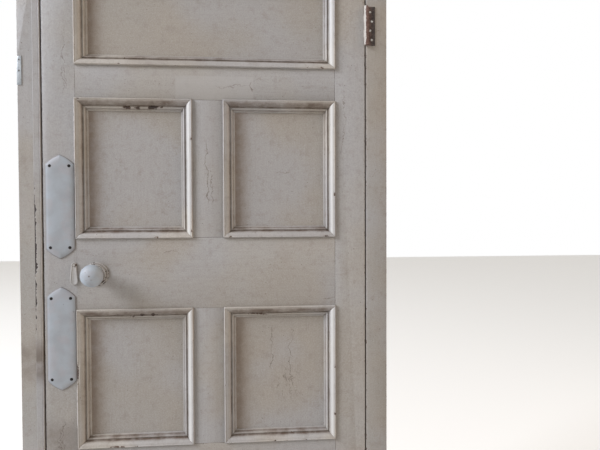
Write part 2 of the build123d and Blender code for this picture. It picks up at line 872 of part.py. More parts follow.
def make_keyhole_plates():
    """A keyhole plate on each face, and the drop cover that hangs on the front one's pivot."""
    plate_y_span = (leaf_front - escutcheon_thickness, leaf_front)
    plate = Pos(key_x, 0, pivot_z) * plate_y(drop_outline(escutcheon_inset), plate_y_span)
    plate -= keyhole_tool(grown(plate_y_span, cut_margin))
    cover_back = plate_y_span[0] - cover_gap
    cover_front = cover_back - cover_thickness
    cover = Pos(key_x, 0, pivot_z) * plate_y(drop_outline(0), (cover_front, cover_back))
    cover -= rod_y(key_x, pivot_z, pivot_radius + pivot_clearance, (cover_front, cover_back))
    head_back = cover_front - cover_gap
    pivot = rod_y(key_x, pivot_z, pivot_radius, (head_back, leaf_front))
    pivot += rod_y(key_x, pivot_z, pivot_head_radius, (head_back - pivot_head_thickness, head_back))
    save("key_escutcheon", plate + pivot)
    save("key_cover", cover)
    save("back_escutcheon", on_back(plate))


def finger_plate_outline():
    """A long plate with a pointed arch at each end."""
    half = plate_width / 2
    tip = plate_height / 2
    shoulder = tip - plate_point
    lean = math.atan2(plate_point, half)
    side = (half / 2 + plate_bulge * math.sin(lean), (tip + shoulder) / 2 + plate_bulge * math.cos(lean))
    return make_face(
        [
            Line((half, -shoulder), (half, shoulder)),
            ThreePointArc((half, shoulder), side, (0, tip)),
            ThreePointArc((0, tip), (-side[0], side[1]), (-half, shoulder)),
            Line((-half, shoulder), (-half, -shoulder)),
            ThreePointArc((-half, -shoulder), (-side[0], -side[1]), (0, -tip)),
            ThreePointArc((0, -tip), (side[0], -side[1]), (half, -shoulder)),
        ]
    )


def make_finger_plates():
    """Two bevelled finger plates, above and below the knob, with four screws each."""
    for name, centre in plate_centres.items():
        plate = plate_y(finger_plate_outline(), (leaf_front - plate_thickness, leaf_front))
        rim = plate.faces().sort_by(Axis.Y)[0].edges()
        plate = Pos(plate_x, 0, centre) * chamfer(rim, plate_bevel)
        save(name, drill(plate, finger_plate_screws, faces_front))
    save("finger_plate_screws", *at_screws(screw, finger_plate_screws, faces_front))


make_frame()
make_framing()
make_panels()
make_mouldings()
make_hinges()
make_lock()
make_knobs()
make_keyhole_plates()
make_finger_plates()
leaf_side_screws = at_screws(screw, leaf_flap_screws, faces_right)
leaf_side_screws += at_screws(screw, forend_screws, faces_left)
save("leaf_screws", *leaf_side_screws)
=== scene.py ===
# %% [markdown]
# A panelled front door, dressed.
# The solid model of the door comes in as a fixed frame, in metres, with its origin under the middle of
# the threshold. X runs across the doorway, Z is up and the front of the door looks towards -Y.
# This lesson gives every piece of it the surface that eighty years of paint, hands and weather leave.
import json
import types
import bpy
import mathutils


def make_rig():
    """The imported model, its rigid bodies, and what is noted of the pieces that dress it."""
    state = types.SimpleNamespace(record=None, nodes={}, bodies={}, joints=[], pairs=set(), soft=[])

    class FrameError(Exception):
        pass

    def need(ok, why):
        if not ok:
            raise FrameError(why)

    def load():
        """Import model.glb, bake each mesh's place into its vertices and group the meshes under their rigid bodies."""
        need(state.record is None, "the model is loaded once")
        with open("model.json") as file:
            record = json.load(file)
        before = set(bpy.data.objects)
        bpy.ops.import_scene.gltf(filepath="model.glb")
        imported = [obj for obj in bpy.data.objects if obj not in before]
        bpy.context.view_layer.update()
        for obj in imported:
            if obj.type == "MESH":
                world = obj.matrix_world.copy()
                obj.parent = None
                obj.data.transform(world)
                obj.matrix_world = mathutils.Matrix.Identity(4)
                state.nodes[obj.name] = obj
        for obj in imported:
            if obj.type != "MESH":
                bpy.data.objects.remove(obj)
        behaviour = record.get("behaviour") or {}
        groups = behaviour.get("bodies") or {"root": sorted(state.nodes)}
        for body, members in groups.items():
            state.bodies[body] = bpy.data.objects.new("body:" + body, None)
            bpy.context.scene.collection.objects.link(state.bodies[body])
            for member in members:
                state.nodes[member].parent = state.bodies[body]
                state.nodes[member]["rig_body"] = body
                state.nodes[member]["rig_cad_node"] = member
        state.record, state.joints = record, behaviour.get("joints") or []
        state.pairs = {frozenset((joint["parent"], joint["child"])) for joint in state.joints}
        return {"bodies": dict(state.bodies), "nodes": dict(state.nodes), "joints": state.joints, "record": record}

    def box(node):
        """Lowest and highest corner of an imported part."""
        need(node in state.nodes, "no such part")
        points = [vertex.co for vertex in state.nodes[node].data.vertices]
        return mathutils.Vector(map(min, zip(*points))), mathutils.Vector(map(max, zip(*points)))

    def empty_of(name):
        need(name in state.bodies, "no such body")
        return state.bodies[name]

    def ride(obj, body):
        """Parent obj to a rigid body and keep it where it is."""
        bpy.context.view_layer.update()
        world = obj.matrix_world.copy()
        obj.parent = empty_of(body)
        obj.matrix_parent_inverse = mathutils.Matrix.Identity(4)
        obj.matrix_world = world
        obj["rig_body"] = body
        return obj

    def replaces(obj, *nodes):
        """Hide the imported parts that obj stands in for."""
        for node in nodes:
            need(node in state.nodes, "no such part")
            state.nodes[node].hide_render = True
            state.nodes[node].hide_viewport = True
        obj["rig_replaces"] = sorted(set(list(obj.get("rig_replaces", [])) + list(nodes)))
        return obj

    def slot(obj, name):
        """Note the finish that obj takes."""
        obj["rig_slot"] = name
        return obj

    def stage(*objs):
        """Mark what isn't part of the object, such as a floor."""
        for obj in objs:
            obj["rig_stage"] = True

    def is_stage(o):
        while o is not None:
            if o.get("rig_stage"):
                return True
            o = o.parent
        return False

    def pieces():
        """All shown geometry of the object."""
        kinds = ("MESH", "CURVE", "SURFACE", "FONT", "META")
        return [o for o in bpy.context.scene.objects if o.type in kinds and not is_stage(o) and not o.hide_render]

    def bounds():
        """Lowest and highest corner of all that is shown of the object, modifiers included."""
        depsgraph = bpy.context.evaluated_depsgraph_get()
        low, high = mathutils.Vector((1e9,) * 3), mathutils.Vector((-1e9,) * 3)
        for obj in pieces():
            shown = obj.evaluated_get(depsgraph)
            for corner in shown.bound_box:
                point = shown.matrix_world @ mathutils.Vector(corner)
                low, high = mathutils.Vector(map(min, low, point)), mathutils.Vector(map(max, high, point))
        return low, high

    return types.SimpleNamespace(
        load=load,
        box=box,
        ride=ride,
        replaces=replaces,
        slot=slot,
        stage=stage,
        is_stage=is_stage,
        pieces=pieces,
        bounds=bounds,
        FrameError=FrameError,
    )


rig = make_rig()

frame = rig.load()

import json
import math
from functools import partial

import bmesh
import bpy
import numpy as np
from mathutils import Matrix, Vector

nodes = frame["nodes"]
cad_box = [list(corner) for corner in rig.bounds()]
print("CAD pieces:", len(nodes), "box:", [[round(v, 4) for v in corner] for corner in cad_box])

# %% [markdown]
# Sizes first. Everything that has to sit on the door is worked out from the boxes of its own pieces,
# so the dressing follows the joinery. A millimetre is the unit a joiner thinks in, so it gets a name.

# %% Sizes and places
mm = 0.001


def box_of(node):
    """The low corner, high corner and middle of a piece's box, and its size in millimetres."""
    low, high = (np.array(corner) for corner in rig.box(node))
    return low, high, (low + high) / 2, (high - low) / mm


def half_width(node):
    """Half of a piece's width in mm."""
    return box_of(node)[3][0] / 2


def stands(node):
    """How far a piece's front stands off the leaf in mm."""
    return (leaf_front - box_of(node)[0][1]) / mm


leaf_left, leaf_front, leaf_bottom = box_of("closing_stile")[0]
_, leaf_back, leaf_top = box_of("closing_stile")[1]
leaf_right = box_of("hinge_stile")[1][0]
spindle_x, _, lock_z = box_of("spindle")[2]
print("leaf", round((leaf_right - leaf_left) / mm), "by", round((leaf_top - leaf_bottom) / mm), "mm")

# %% [markdown]
# The camera. The photographer stood 1.35 m in front of the door, at chest height and a little to the
# right of its middle, with a wide lens. The three directions below are the rows of the camera's turn.
# They were found by fitting the grid of stiles and rails, which is a good ruler on any door.

# %% Camera


def placed(name, data):
    """A new object of some data, put in the scene."""
    thing = bpy.data.objects.new(name, data)
    bpy.context.scene.collection.objects.link(thing)
    return thing


camera_data = bpy.data.cameras.new("camera")
camera_data.sensor_width = 36.0
camera_data.lens = 30.0
camera_data.clip_start = 0.05
camera = placed("camera", camera_data)
camera_right = Vector((0.99667, -0.08149, -0.00378)).normalized()
camera_forward = Vector((0.08141, 0.99649, -0.01939)).normalized()
camera_up = camera_right.cross(camera_forward)
turn = Matrix((camera_right, camera_up, -camera_forward)).transposed().to_4x4()
camera.matrix_world = Matrix.Translation((0.1297, -1.3447, 1.3201)) @ turn
bpy.context.scene.camera = camera
print("camera at", [round(v, 3) for v in camera.location])

# %% [markdown]
# Light. The door in the photo is lit softly from far to the left and above, so low across its face
# that a moulding 20 mm deep throws a soft shadow 30 mm wide. A large pale area lamp 11 m off gives
# that. A weak warm one, low and to the right, is the light that a wall throws back, and a plain world
# fills the rest. White shows behind the door because camera, mirror and glass rays see a world of
# strength 1, while the light on the door stays at its own level.
#
# Every material and the world are built from nodes. One function adds a node, and a table holds what
# each kind of node takes, so that a pattern further down reads as a sentence. The scale of a noise or
# of cells is written as 1 over the real size in millimetres.

# %% Colours and one helper for nodes


def linear(hex_colour):
    """An sRGB hex colour as linear red, green, blue and 1.

    Each channel c of 0 to 1 becomes c / 12.92 below 0.04045, and ((c + 0.055) / 1.055) ** 2.4 above.
    """
    channels = np.array([int(hex_colour[i:i + 2], 16) for i in (1, 3, 5)]) / 255
    low = channels / 12.92
    high = ((channels + 0.055) / 1.055) ** 2.4
    return (*np.where(channels <= 0.04045, low, high).tolist(), 1.0)


sums = {
    "times": "MULTIPLY", "times plus": "MULTIPLY_ADD", "plus": "ADD", "minus": "SUBTRACT",
    "absolute": "ABSOLUTE", "larger": "MAXIMUM",
}
# Each kind of node: Blender's name, the sockets that its values go to in order, and its settings.
node_kinds = {
    **{name: ("Math", (0, 1, 2), {"operation": operation}) for name, operation in sums.items()},
    "step": ("MapRange", (0, 1, 2, 3, 4), {"interpolation_type": "SMOOTHSTEP"}),
    "noise": ("TexNoise", ("Vector", "Scale", "Detail", "Roughness"), {}),
    "cells": ("TexVoronoi", ("Vector", "Scale"), {}),
    "cell edges": ("TexVoronoi", ("Vector", "Scale"), {"feature": "DISTANCE_TO_EDGE"}),
    "mix": ("Mix", (0, 6, 7), {"data_type": "RGBA"}),
    "coordinates": ("TexCoord", (), {}),
    "mapping": ("Mapping", (0, 1, 3), {}),
    "split": ("SeparateXYZ", (0,), {}),
    "scaled": ("VectorMath", (0, "Scale"), {"operation": "SCALE"}),
    "moved": ("VectorMath", (0, 1), {"operation": "ADD"}),
    "mark": ("Attribute", (), {}),
    "bump": ("Bump", ("Height", "Strength", "Distance"), {}),
    "rays": ("LightPath", (), {}),
    "glow": ("Background", ("Color", "Strength"), {}),
    "either": ("MixShader", (0, 1, 2), {}),
    "world": ("OutputWorld", ("Surface",), {}),
}


def add(tree, kind, *values, **settings):
    """Adds one node of a kind in node_kinds. A value is a number, a socket or a node.

    A node stands for its first output.
    """
    name, sockets, fixed = node_kinds[kind]
    node = tree.nodes.new("ShaderNode" + name)
    for setting, value in {**fixed, **settings}.items():
        setattr(node, setting, value)
    for socket, value in zip(sockets, values):
        if isinstance(value, bpy.types.Node):
            value = value.outputs[0]
        if isinstance(value, bpy.types.NodeSocket):
            tree.links.new(value, node.inputs[socket])
        else:
            node.inputs[socket].default_value = value
    return node


def new_material(name):
    """An empty node material, and the helper for nodes tied to its tree."""
    material = bpy.data.materials.new(name)
    material.use_nodes = True
    return material, partial(add, material.node_tree)


def join(material, links, constants):
    """Gives sockets of a material's shader their links, from nodes or sockets, and their constants."""
    inputs = material.node_tree.nodes["Principled BSDF"].inputs
    for socket, source in links.items():
        output = source.outputs[0] if isinstance(source, bpy.types.Node) else source
        material.node_tree.links.new(output, inputs[socket])
    for socket, value in constants.items():
        inputs[socket].default_value = value
    return material


print("node kinds:", len(node_kinds))

# %% World, lamps and floor
world = bpy.data.worlds.new("studio")
bpy.context.scene.world = world
world.use_nodes = True
world.node_tree.nodes.clear()
new = partial(add, world.node_tree)
rays = new("rays").outputs
shown = new("larger", rays["Is Camera Ray"], rays["Is Glossy Ray"])
shown = new("larger", shown, rays["Is Transmission Ray"])
fill = new("glow", linear("#f7efe4"), 0.25)
white = new("glow", (1, 1, 1, 1), 1.0)
new("world", new("either", shown, fill, white))


def area_lamp(name, direction, distance, size, power, colour):
    """A square lamp that looks at the middle of the picture from one direction."""
    data = bpy.data.lights.new(name, "AREA")
    data.shape = "SQUARE"
    data.size = size
    data.energy = power
    data.color = linear(colour)[:3]
    lamp = placed(name, data)
    towards = Vector(direction).normalized()
    lamp.location = Vector((0, leaf_front, lock_z)) + towards * distance
    lamp.rotation_euler = towards.to_track_quat("Z", "Y").to_euler()


area_lamp("window_light", (-2.0, -0.78, 1.25), 11.0, 3.7, 1450, "#eef4ff")
area_lamp("room_light", (2.4, -1.0, 0.9), 4.5, 2.6, 60, "#ffead6")

floor_mesh = bpy.data.meshes.new("floor")
reach = 14.0
corners = [(-reach, -reach, 0), (reach, -reach, 0), (reach, reach, 0), (-reach, reach, 0)]
floor_mesh.from_pydata(corners, [], [(0, 1, 2, 3)])
floor_finish, new = new_material("studio_floor")
lift = new("times", new("rays").outputs["Is Camera Ray"], 0.45)
floor_colours = {"Base Color": linear("#e9e7e3"), "Roughness": 0.8, "Emission Color": linear("#f3f1ee")}
floor_mesh.materials.append(join(floor_finish, {"Emission Strength": lift}, floor_colours))
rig.stage(placed("floor", floor_mesh))
bpy.context.scene.view_settings.view_transform = "Standard"
print("lamps: window_light and room_light, floor", round(2 * reach), "m wide")

# %% [markdown]
# Old gloss paint. The real finish is oil paint brushed on softwood in many coats: an off-white that
# has yellowed, holds fine grit and dust, shows the brush along the grain, and has crazed into hair
# cracks that follow the grain. Where a hand, a boot or a door's edge knocks it, it chips down to red
# primer and bare wood. Each of those is one pattern below, at its real size in millimetres, and the
# same patterns with other shares make the boards, the panels, the mouldings and the frame.

# %% Patterns for paint


def millimetres(new, shift=(0, 0, 0), stretch=(1, 1, 1)):
    """Object coordinates in millimetres, moved by shift and squeezed along an axis by stretch."""
    return new("mapping", new("coordinates").outputs["Object"], shift, [1000 * value for value in stretch])


def band(new, value, middle, half, soft):
    """1 where a value is within half of its middle, fading to 0 over soft."""
    return new("step", new("absolute", new("minus", value, middle)), half, half + soft, 1.0, 0.0)


def patch(new, split, x, z, half_x, half_z, soft_x, soft_z):
    """1 inside an upright rectangle about (x, z) in mm, fading to 0 over soft."""
    over_x = band(new, split.outputs["X"], x, half_x, soft_x)
    return new("times", over_x, band(new, split.outputs["Z"], z, half_z, soft_z))


def crack_marks(new, lines):
    """Single cracks at known places: (the way it runs, x, z, half its length, half its width) in mm.

    A crack is where the distance across it, bent by a slow noise, is under half its width.
    """
    place = millimetres(new)
    split = new("split", place)
    slow = new("times plus", new("noise", place, 1 / 30, 5, 0.62), 44.0, -22.0)
    total = 0.0
    for runs, x, z, half, width in lines:
        places = [("X", x), ("Z", z)]
        (across, middle), (along, centre) = places if runs == "Z" else places[::-1]
        line = band(new, new("plus", split.outputs[across], slow), middle, width, 0.8)
        line = new("times", line, band(new, split.outputs[along], centre, 0.7 * half, 0.3 * half))
        total = new("larger", total, line)
    return total


def dress(material, tone, layers, rough, height, strength, depth, **constants):
    """Joins a material's shader: colour, roughness, a bump of depth mm, and constants.

    layers are (share, colour) from the bottom up, each laid by its share over tone and those below.
    """
    colour = linear(tone)
    for share, above in layers:
        above = linear(above) if isinstance(above, str) else above
        colour = add(material.node_tree, "mix", share, colour, above).outputs[2]
    bump = add(material.node_tree, "bump", height, strength, depth * mm)
    return join(material, {"Base Color": colour, "Roughness": rough, "Normal": bump}, constants)


print("pattern helpers ready")

# %% Paint on timber
grain_stretch = {"X": (0.06, 1, 1), "Z": (1, 1, 0.06)}
crack_stretch = {"X": (0.22, 1, 1), "Z": (1, 1, 0.22)}


def old_paint(
    name, tone, grain, seed, sand=0.10, crazing=0.5, grime=0.5,
    cracks=(), stain=None, mend=None, net=None, lee=(), chalk=(),
):
    """Brushed oil paint on softwood, aged.

    tone is the clean colour, grain the axis that the board runs along and seed moves every pattern,
    so that no two boards match. The shares sand, crazing and grime say how much of each it has.
    cracks are single ones at known places, stain is a level with its half height and share, and
    mend is a filled place and net a crazed one, each as (x, z, half width, half height). Right of
    each x in lee lies a painted shadow of the moulding there, with the dust that it shelters. chalk
    holds white lines of filler along an edge, as (x, z, half length).
    """
    material, new = new_material(name)
    shift = (seed * 911.0, seed * 577.0, seed * 733.0)
    place = millimetres(new, shift)
    split = new("split", millimetres(new))

    # Yellowing in soft clouds a hand wide, then brush marks a few millimetres apart, then grit and
    # dust caught in the gloss, 1 to 3 mm so that it shows at this distance.
    clouds = new("step", new("noise", place, 1 / 210, 3), 0.36, 0.66)
    brush = new("noise", millimetres(new, shift, grain_stretch[grain]), 1 / 4.5, 3, 0.6)
    mottle = new("noise", place, 1 / 17, 4, 0.6)
    fine = new("noise", place, 1 / 3.2, 3, 0.75)
    dots = new("step", new("cells", place, 1 / 13), 0.05, 0.12, 0.7, 0.0)
    layers = [
        (new("times", clouds, 0.75), "#a1988d"),
        (new("step", new("noise", place, 1 / 320), 0.44, 0.60, 0.0, 0.55), "#a5a4a6"),
        (new("step", brush, 0.40, 0.72, 0.0, 0.16), "#8a8178"),
        (new("step", mottle, 0.50, 0.74, 0.0, 0.22 + 0.3 * grime), "#857a70"),
        (new("step", fine, 0.50, 0.68, 0.0, sand * 2.6), "#7d736a"),
        (new("step", fine, 0.50, 0.34, 0.0, sand * 2.0), "#c4bfb8"),
        (new("times", dots, new("step", new("noise", place, 1 / 60), 0.50, 0.60)), "#5b4f45"),
    ]
    if mend is not None:
        layers.append((new("times", patch(new, split, *mend, 2, 2), 0.55), "#aeaaa6"))

    # Hair cracks along the grain: a faint net in a few patches, and the single ones that are seen.
    push = new("scaled", new("noise", place, 1 / 14, 3).outputs["Color"], 16.0)
    bent = new("moved", millimetres(new, shift, crack_stretch[grain]), push)
    hair = new("step", new("cell edges", bent, 1 / 22), 0.006, 0.026, 1.0, 0.0)
    where = new("step", new("noise", place, 1 / 110), 0.72 - 0.16 * crazing, 0.86 - 0.16 * crazing, 0.0, 0.5)
    hair = new("times", hair, where)
    if net is not None:
        x, z, half_x, half_z = net
        small = new("step", new("cell edges", bent, 1 / 8), 0.02, 0.09, 1.0, 0.0)
        small = new("times", small, new("step", new("noise", place, 1 / 14, 3), 0.46, 0.56))
        small = new("times", small, patch(new, split, x, z, 0, 0, half_x, half_z))
        hair = new("larger", hair, small)
    if cracks:
        hair = new("larger", hair, crack_marks(new, cracks))
    layers.append((new("times", hair, 0.8), "#6a5e54"))

    # Grime in larger soft marks, and one named stain, painted moulding shadow with dust, and chalk where the board has
    # them.
    large = new("noise", place, 1 / 85, 5, 0.62)
    layers.append((new("step", large, 0.56, 0.80, 0.0, 0.5 * grime), "#82766b"))
    if stain is not None:
        level, half, share = stain
        cloudy = new("step", new("noise", place, 1 / 34, 4), 0.30, 0.56, 0.4 * share, share)
        layers.append((new("times", band(new, split.outputs["Z"], level, half, 60), cloudy), "#5f4f43"))
    for x in lee:
        # Right of each moulding edge a brown band is laid: painted shadow of the moulding, with the dust it shelters.
        dust_and_shadow = new("step", split.outputs["X"], x, x + 50, 0.70, 0.0)
        dust_and_shadow = new("times", dust_and_shadow, new("step", split.outputs["X"], x - 2, x - 1))
        layers.append((new("times", dust_and_shadow, new("step", mottle, 0.25, 0.60, 0.6, 1.0)), "#7a6655"))
    for x, z, half in chalk:
        line = patch(new, split, x, z, 0.6, half - 12, 0.6, 12)
        layers.append((new("times", line, new("step", mottle, 0.36, 0.50, 0.0, 0.9)), "#d2cdcb"))

    # Slopes that face the window carry a painted highlight, and marked places get dirt, with painted
    # shade in quirks and on slopes that face down. Marked arrises lose their paint in places, down to
    # red primer and dark wood. Joints open into a dark line.
    names = ("bleached", "dirt", "worn", "joint")
    bleached, dirt, worn, joint = (new("mark", attribute_name=mark).outputs["Fac"] for mark in names)
    torn = new("times plus", worn, 0.35, new("noise", place, 1 / 10, 4, 0.65))
    flaked = new("times", new("step", worn, 0.02, 0.20), new("step", torn, 0.73, 0.78))
    opened = new("step", new("noise", place, 1 / 36, 3, 0.6), 0.36, 0.56, 0.25, 1.0)
    layers += [
        (new("times", bleached, 0.72), "#dcd9d4"),
        (new("times", dirt, new("step", mottle, 0.30, 0.60, 0.55, 0.95)), "#5d4b3d"),
        (flaked, new("mix", clouds, linear("#5b4537"), linear("#43332b")).outputs[2]),
        (new("times", flaked, new("step", worn, 1.0, 1.4)), "#2b201b"),
        (new("times", joint, opened), "#41352c"),
    ]
    height = new("times", brush, 0.30)
    for pattern, share in ((fine, 0.12), (mottle, 0.5), (hair, -0.8), (flaked, -0.9)):
        height = new("times plus", pattern, share, height)
    rough = new("step", fine, 0.30, 0.70, 0.40, 0.58)
    return dress(material, tone, layers, rough, height, 0.55, 0.4, IOR=1.5)


paint_tone = "#a6a19b"
panel_tone = "#9e978e"
frame_tone = "#9c9790"
stile_cracks = [
    ("Z", -352, 1700, 75, 0.2), ("Z", -358, 1660, 40, 0.2), ("Z", -365, 765, 45, 0.3),
    ("Z", -372, 730, 60, 0.3),
]
hinge_stile_cracks = [("Z", 352, 1560, 90, 0.1)]
rail_cracks = [
    ("X", 314, 1102, 20, 0.4), ("X", -94, 1229, 22, 0.2), ("X", 60, 1650, 45, 0.0), ("Z", 115, 1650, 14, 0.5),
]
muntin_cracks = [("Z", -1, 1432, 92, 0.35), ("Z", 8, 1390, 40, 0.2)]
panel_cracks = [
    ("Z", 163, 975, 62, 0.25), ("Z", 212, 985, 44, 0.1), ("Z", 208, 915, 34, 0.3), ("X", 191, 1429, 20, 0.3),
]
chalk_lines = [(-329.8, 1537, 80), (-329.8, 838, 54)]
moulding_nodes = sorted(node for node in nodes if node.startswith("moulding_"))
lee_start = 29 * mm
panel_lees = sorted({round((box_of(node)[0][0] + lee_start) / mm) for node in moulding_nodes})
jamb_holes = [("Z", -457, 1749, 2, 1.4), ("Z", -457, 1734, 2, 1.2)]
paint_rows = {
    # The closing stile's tone is darker than the other boards': painted shade, with greying from hands.
    "closing_stile": ("#9d9892", "Z", 1, 0.10, 0.5, 0.45, stile_cracks, (640, 130, 0.38)),
    "stiles": (paint_tone, "Z", 1, 0.10, 0.5, 0.40, hinge_stile_cracks),
    "rails": (paint_tone, "X", 2, 0.10, 0.2, 0.45, rail_cracks),
    "muntins": ("#a7a29c", "Z", 3, 0.08, 0.3, 0.30, muntin_cracks),
    "panels": (panel_tone, "Z", 4, 0.10, 0.3, 0.40, panel_cracks),
    "frieze_panel": (panel_tone, "X", 4, 0.10, 0.3, 0.40),
    "frame": (frame_tone, "Z", 5, 0.09, 0.4, 0.50),
    "jamb": (frame_tone, "Z", 12, 0.10, 0.4, 0.55, jamb_holes, (960, 14, 0.42)),
    "head": (frame_tone, "X", 6, 0.09, 0.4, 0.45),
}
own_marks = {
    "closing_stile": {"chalk": chalk_lines},
    "rails": {"mend": (18, 1640, 97, 34)},
    "panels": {"net": (199, 880, 52, 70), "lee": panel_lees},
    "frieze_panel": {"lee": panel_lees[:1]},
}
paints = {}
for board, row in paint_rows.items():
    paints[board] = old_paint("old_paint_" + board, *row, **own_marks.get(board, {}))
print("paints:", ", ".join(paints))

# %% [markdown]
# Eased arrises. A joiner takes the sharpness off every arris with a pass of the plane, and coats of
# paint round it further, so that free edges catch a thin line of light and two boards that meet show
# a fine V between them. The solid's own mesh stays as it is. A merged copy of it gets its long edges
# bevelled, wide where the edge is free and narrow at a joint, and each bevel face carries a mark for
# which it is. Normals stored with the solid would no longer fit the copy, so they are dropped.

# %% Boards with eased arrises
edge_wear = 0.5
arris_angle = math.radians(40)
sharp_angle = math.radians(28)
flat_area = 400 * mm ** 2


def finish_piece(piece, slot, node):
    """Gives a piece its slot, and the body and the place of the CAD node that it stands for."""
    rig.ride(piece, nodes[node]["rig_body"])
    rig.slot(piece, slot)
    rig.replaces(piece, node)


def is_free(centre):
    """True for a point on the leaf's outer edges or on the frame, where nothing meets it."""
    on_side = min(abs(centre.x - leaf_left), abs(centre.x - leaf_right)) < 2 * mm
    on_end = min(abs(centre.z - leaf_top), abs(centre.z - leaf_bottom)) < 2 * mm
    return on_side or on_end


def on_box(edge, box):
    """True for an edge that lies on two outer planes of a piece's box at once."""
    near = 0.01 * mm
    planes = [(axis, side[axis]) for side in box for axis in range(3)]
    return sum(all(abs(vert.co[axis] - at) < near for vert in edge.verts) for axis, at in planes) >= 2


def eased(node, material, slot, radius, joint_radius=0.0, shortest=14 * mm, outer=True):
    """A copy of a CAD node with its long arrises rounded, marked worn where free and joint where not.

    Faces over 400 square millimetres are shaded flat, the roundings smooth.
    """
    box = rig.box(node)
    mesh = nodes[node].data.copy()
    mesh.materials.clear()
    mesh.materials.append(material)
    if mesh.has_custom_normals:
        mesh.attributes.remove(mesh.attributes["custom_normal"])
    work = bmesh.new()
    work.from_mesh(mesh)
    worn_layer = work.faces.layers.float.new("worn")
    joint_layer = work.faces.layers.float.new("joint")
    bmesh.ops.remove_doubles(work, verts=work.verts, dist=0.001 * mm)
    bmesh.ops.dissolve_limit(work, angle_limit=math.radians(1), verts=work.verts, edges=work.edges)
    for meeting in (True, False):
        size = joint_radius if meeting else radius
        arrises = [
            edge
            for edge in work.edges
            if edge.calc_length() > shortest
            and len(edge.link_faces) == 2
            and edge.calc_face_angle() > arris_angle
            and (not outer or on_box(edge, box))
            and (joint_radius > 0 and not is_free((edge.verts[0].co + edge.verts[1].co) / 2)) == meeting
        ]
        if not arrises:
            continue
        made = bmesh.ops.bevel(
            work, geom=arrises, offset=size, segments=2, profile=0.5, affect="EDGES", clamp_overlap=False
        )
        for face in made["faces"]:
            face[worn_layer] = 0.0 if meeting else edge_wear
            face[joint_layer] = 1.0 if meeting else 0.0
    bmesh.ops.recalc_face_normals(work, faces=work.faces)
    for face in work.faces:
        face.smooth = face.calc_area() < flat_area
    work.to_mesh(mesh)
    work.free()
    mesh.set_sharp_from_angle(angle=sharp_angle)
    finish_piece(placed(node + "_painted", mesh), slot, node)


# Paint, slot, radius of the free arrises and of the joints in mm, and the boards.
board_rows = [
    ("closing_stile", "old_paint_framing", 1.5, 0.85, ["closing_stile"]),
    ("stiles", "old_paint_framing", 1.5, 0.85, ["hinge_stile"]),
    ("rails", "old_paint_framing", 1.5, 0.85, [
        "top_rail", "frieze_rail", "lock_rail", "lower_rail", "bottom_rail",
    ]),
    ("muntins", "old_paint_framing", 1.5, 0.85, ["muntin_upper", "muntin_middle", "muntin_lower"]),
    ("jamb", "old_paint_frame", 1.3, 0.0, ["closing_jamb"]),
    ("frame", "old_paint_frame", 1.6, 0.0, ["hinge_jamb", "stop_closing", "stop_hinge"]),
    ("head", "old_paint_frame", 1.6, 0.0, ["frame_head", "threshold", "stop_head"]),
]
for paint, slot, radius, joint_radius, boards in board_rows:
    for board in boards:
        eased(board, paints[paint], slot, radius * mm, joint_radius * mm)
for node in nodes:
    if node.startswith("panel_"):
        nodes[node].data.materials.clear()
        nodes[node].data.materials.append(paints["frieze_panel" if node == "panel_frieze" else "panels"])
print("boards eased:", sum(len(row[-1]) for row in board_rows))

# %% [markdown]
# Surfaces from numbers. The new pieces below are grids of points worked out all at once: one
# parameter runs along or round the piece and the other runs round its section. These helpers turn
# such a grid into a closed mesh and carry the marks for wear and dirt that the paint reads.

# %% Grids into meshes


def quads(rows, columns, wrap_rows, wrap_columns):
    """The four corner numbers of each cell of a rows by columns grid, wrapped round where asked."""
    i = np.arange(rows if wrap_rows else rows - 1)
    j = np.arange(columns if wrap_columns else columns - 1)
    i, j = np.meshgrid(i, j, indexing="ij")
    next_i = (i + 1) % rows
    next_j = (j + 1) % columns
    cells = (i * columns + j, next_i * columns + j, next_i * columns + next_j, i * columns + next_j)
    return np.stack(cells, axis=-1).reshape(-1, 4)


def tube(rows, columns):
    """The faces of a closed section carried along: cells all round, and one face across each end."""
    ends = list(range(columns)), list(range((rows - 1) * columns, rows * columns))
    return [*quads(rows, columns, False, True).tolist(), *ends]


def mesh_piece(name, points, faces, marks, material, weld=0.002 * mm):
    """A smooth closed mesh from points (n, 3) in metres and faces, its normals turned outwards."""
    mesh = bpy.data.meshes.new(name)
    mesh.from_pydata(points.reshape(-1, 3).tolist(), [], faces)
    for mark, values in marks.items():
        layer = mesh.attributes.new(mark, "FLOAT", "POINT")
        layer.data.foreach_set("value", np.asarray(values, dtype=np.float32).ravel())
    work = bmesh.new()
    work.from_mesh(mesh)
    bmesh.ops.remove_doubles(work, verts=work.verts, dist=weld)
    bmesh.ops.recalc_face_normals(work, faces=work.faces)
    work.to_mesh(mesh)
    work.free()
    mesh.shade_smooth()
    mesh.materials.append(material)
    return placed(name, mesh)


def joined(parts):
    """Several (points, faces, marks) as one: each part's face numbers move up past those before it."""
    points, faces, marks = zip(*parts)
    starts = np.cumsum([0, *(len(rows) for rows in points)]).tolist()
    faces = [[i + start for i in face] for start, part in zip(starts, faces) for face in part]
    marks = {mark: np.concatenate([own[mark].ravel() for own in marks]) for mark in marks[0]}
    return np.concatenate(points), faces, marks


def hump(value, middle, width, power=2):
    """A hump, 1 at its middle: exp(-(((value - middle) / width) ** power)). A high power is flat."""
    return np.exp(-(((value - middle) / width) ** power))


def sampled(corners, spacing):
    """A broken line as points about spacing apart, with its own corners kept."""
    corners = np.asarray(corners, dtype=float)
    runs = np.linalg.norm(np.diff(corners, axis=0), axis=1)
    counts = np.maximum(1, np.round(runs / spacing)).astype(int)
    pieces = [
        start + (end - start) * (np.arange(count) / count)[:, None]
        for start, end, count in zip(corners[:-1], corners[1:], counts)
    ]
    return np.concatenate([*pieces, corners[-1:]])


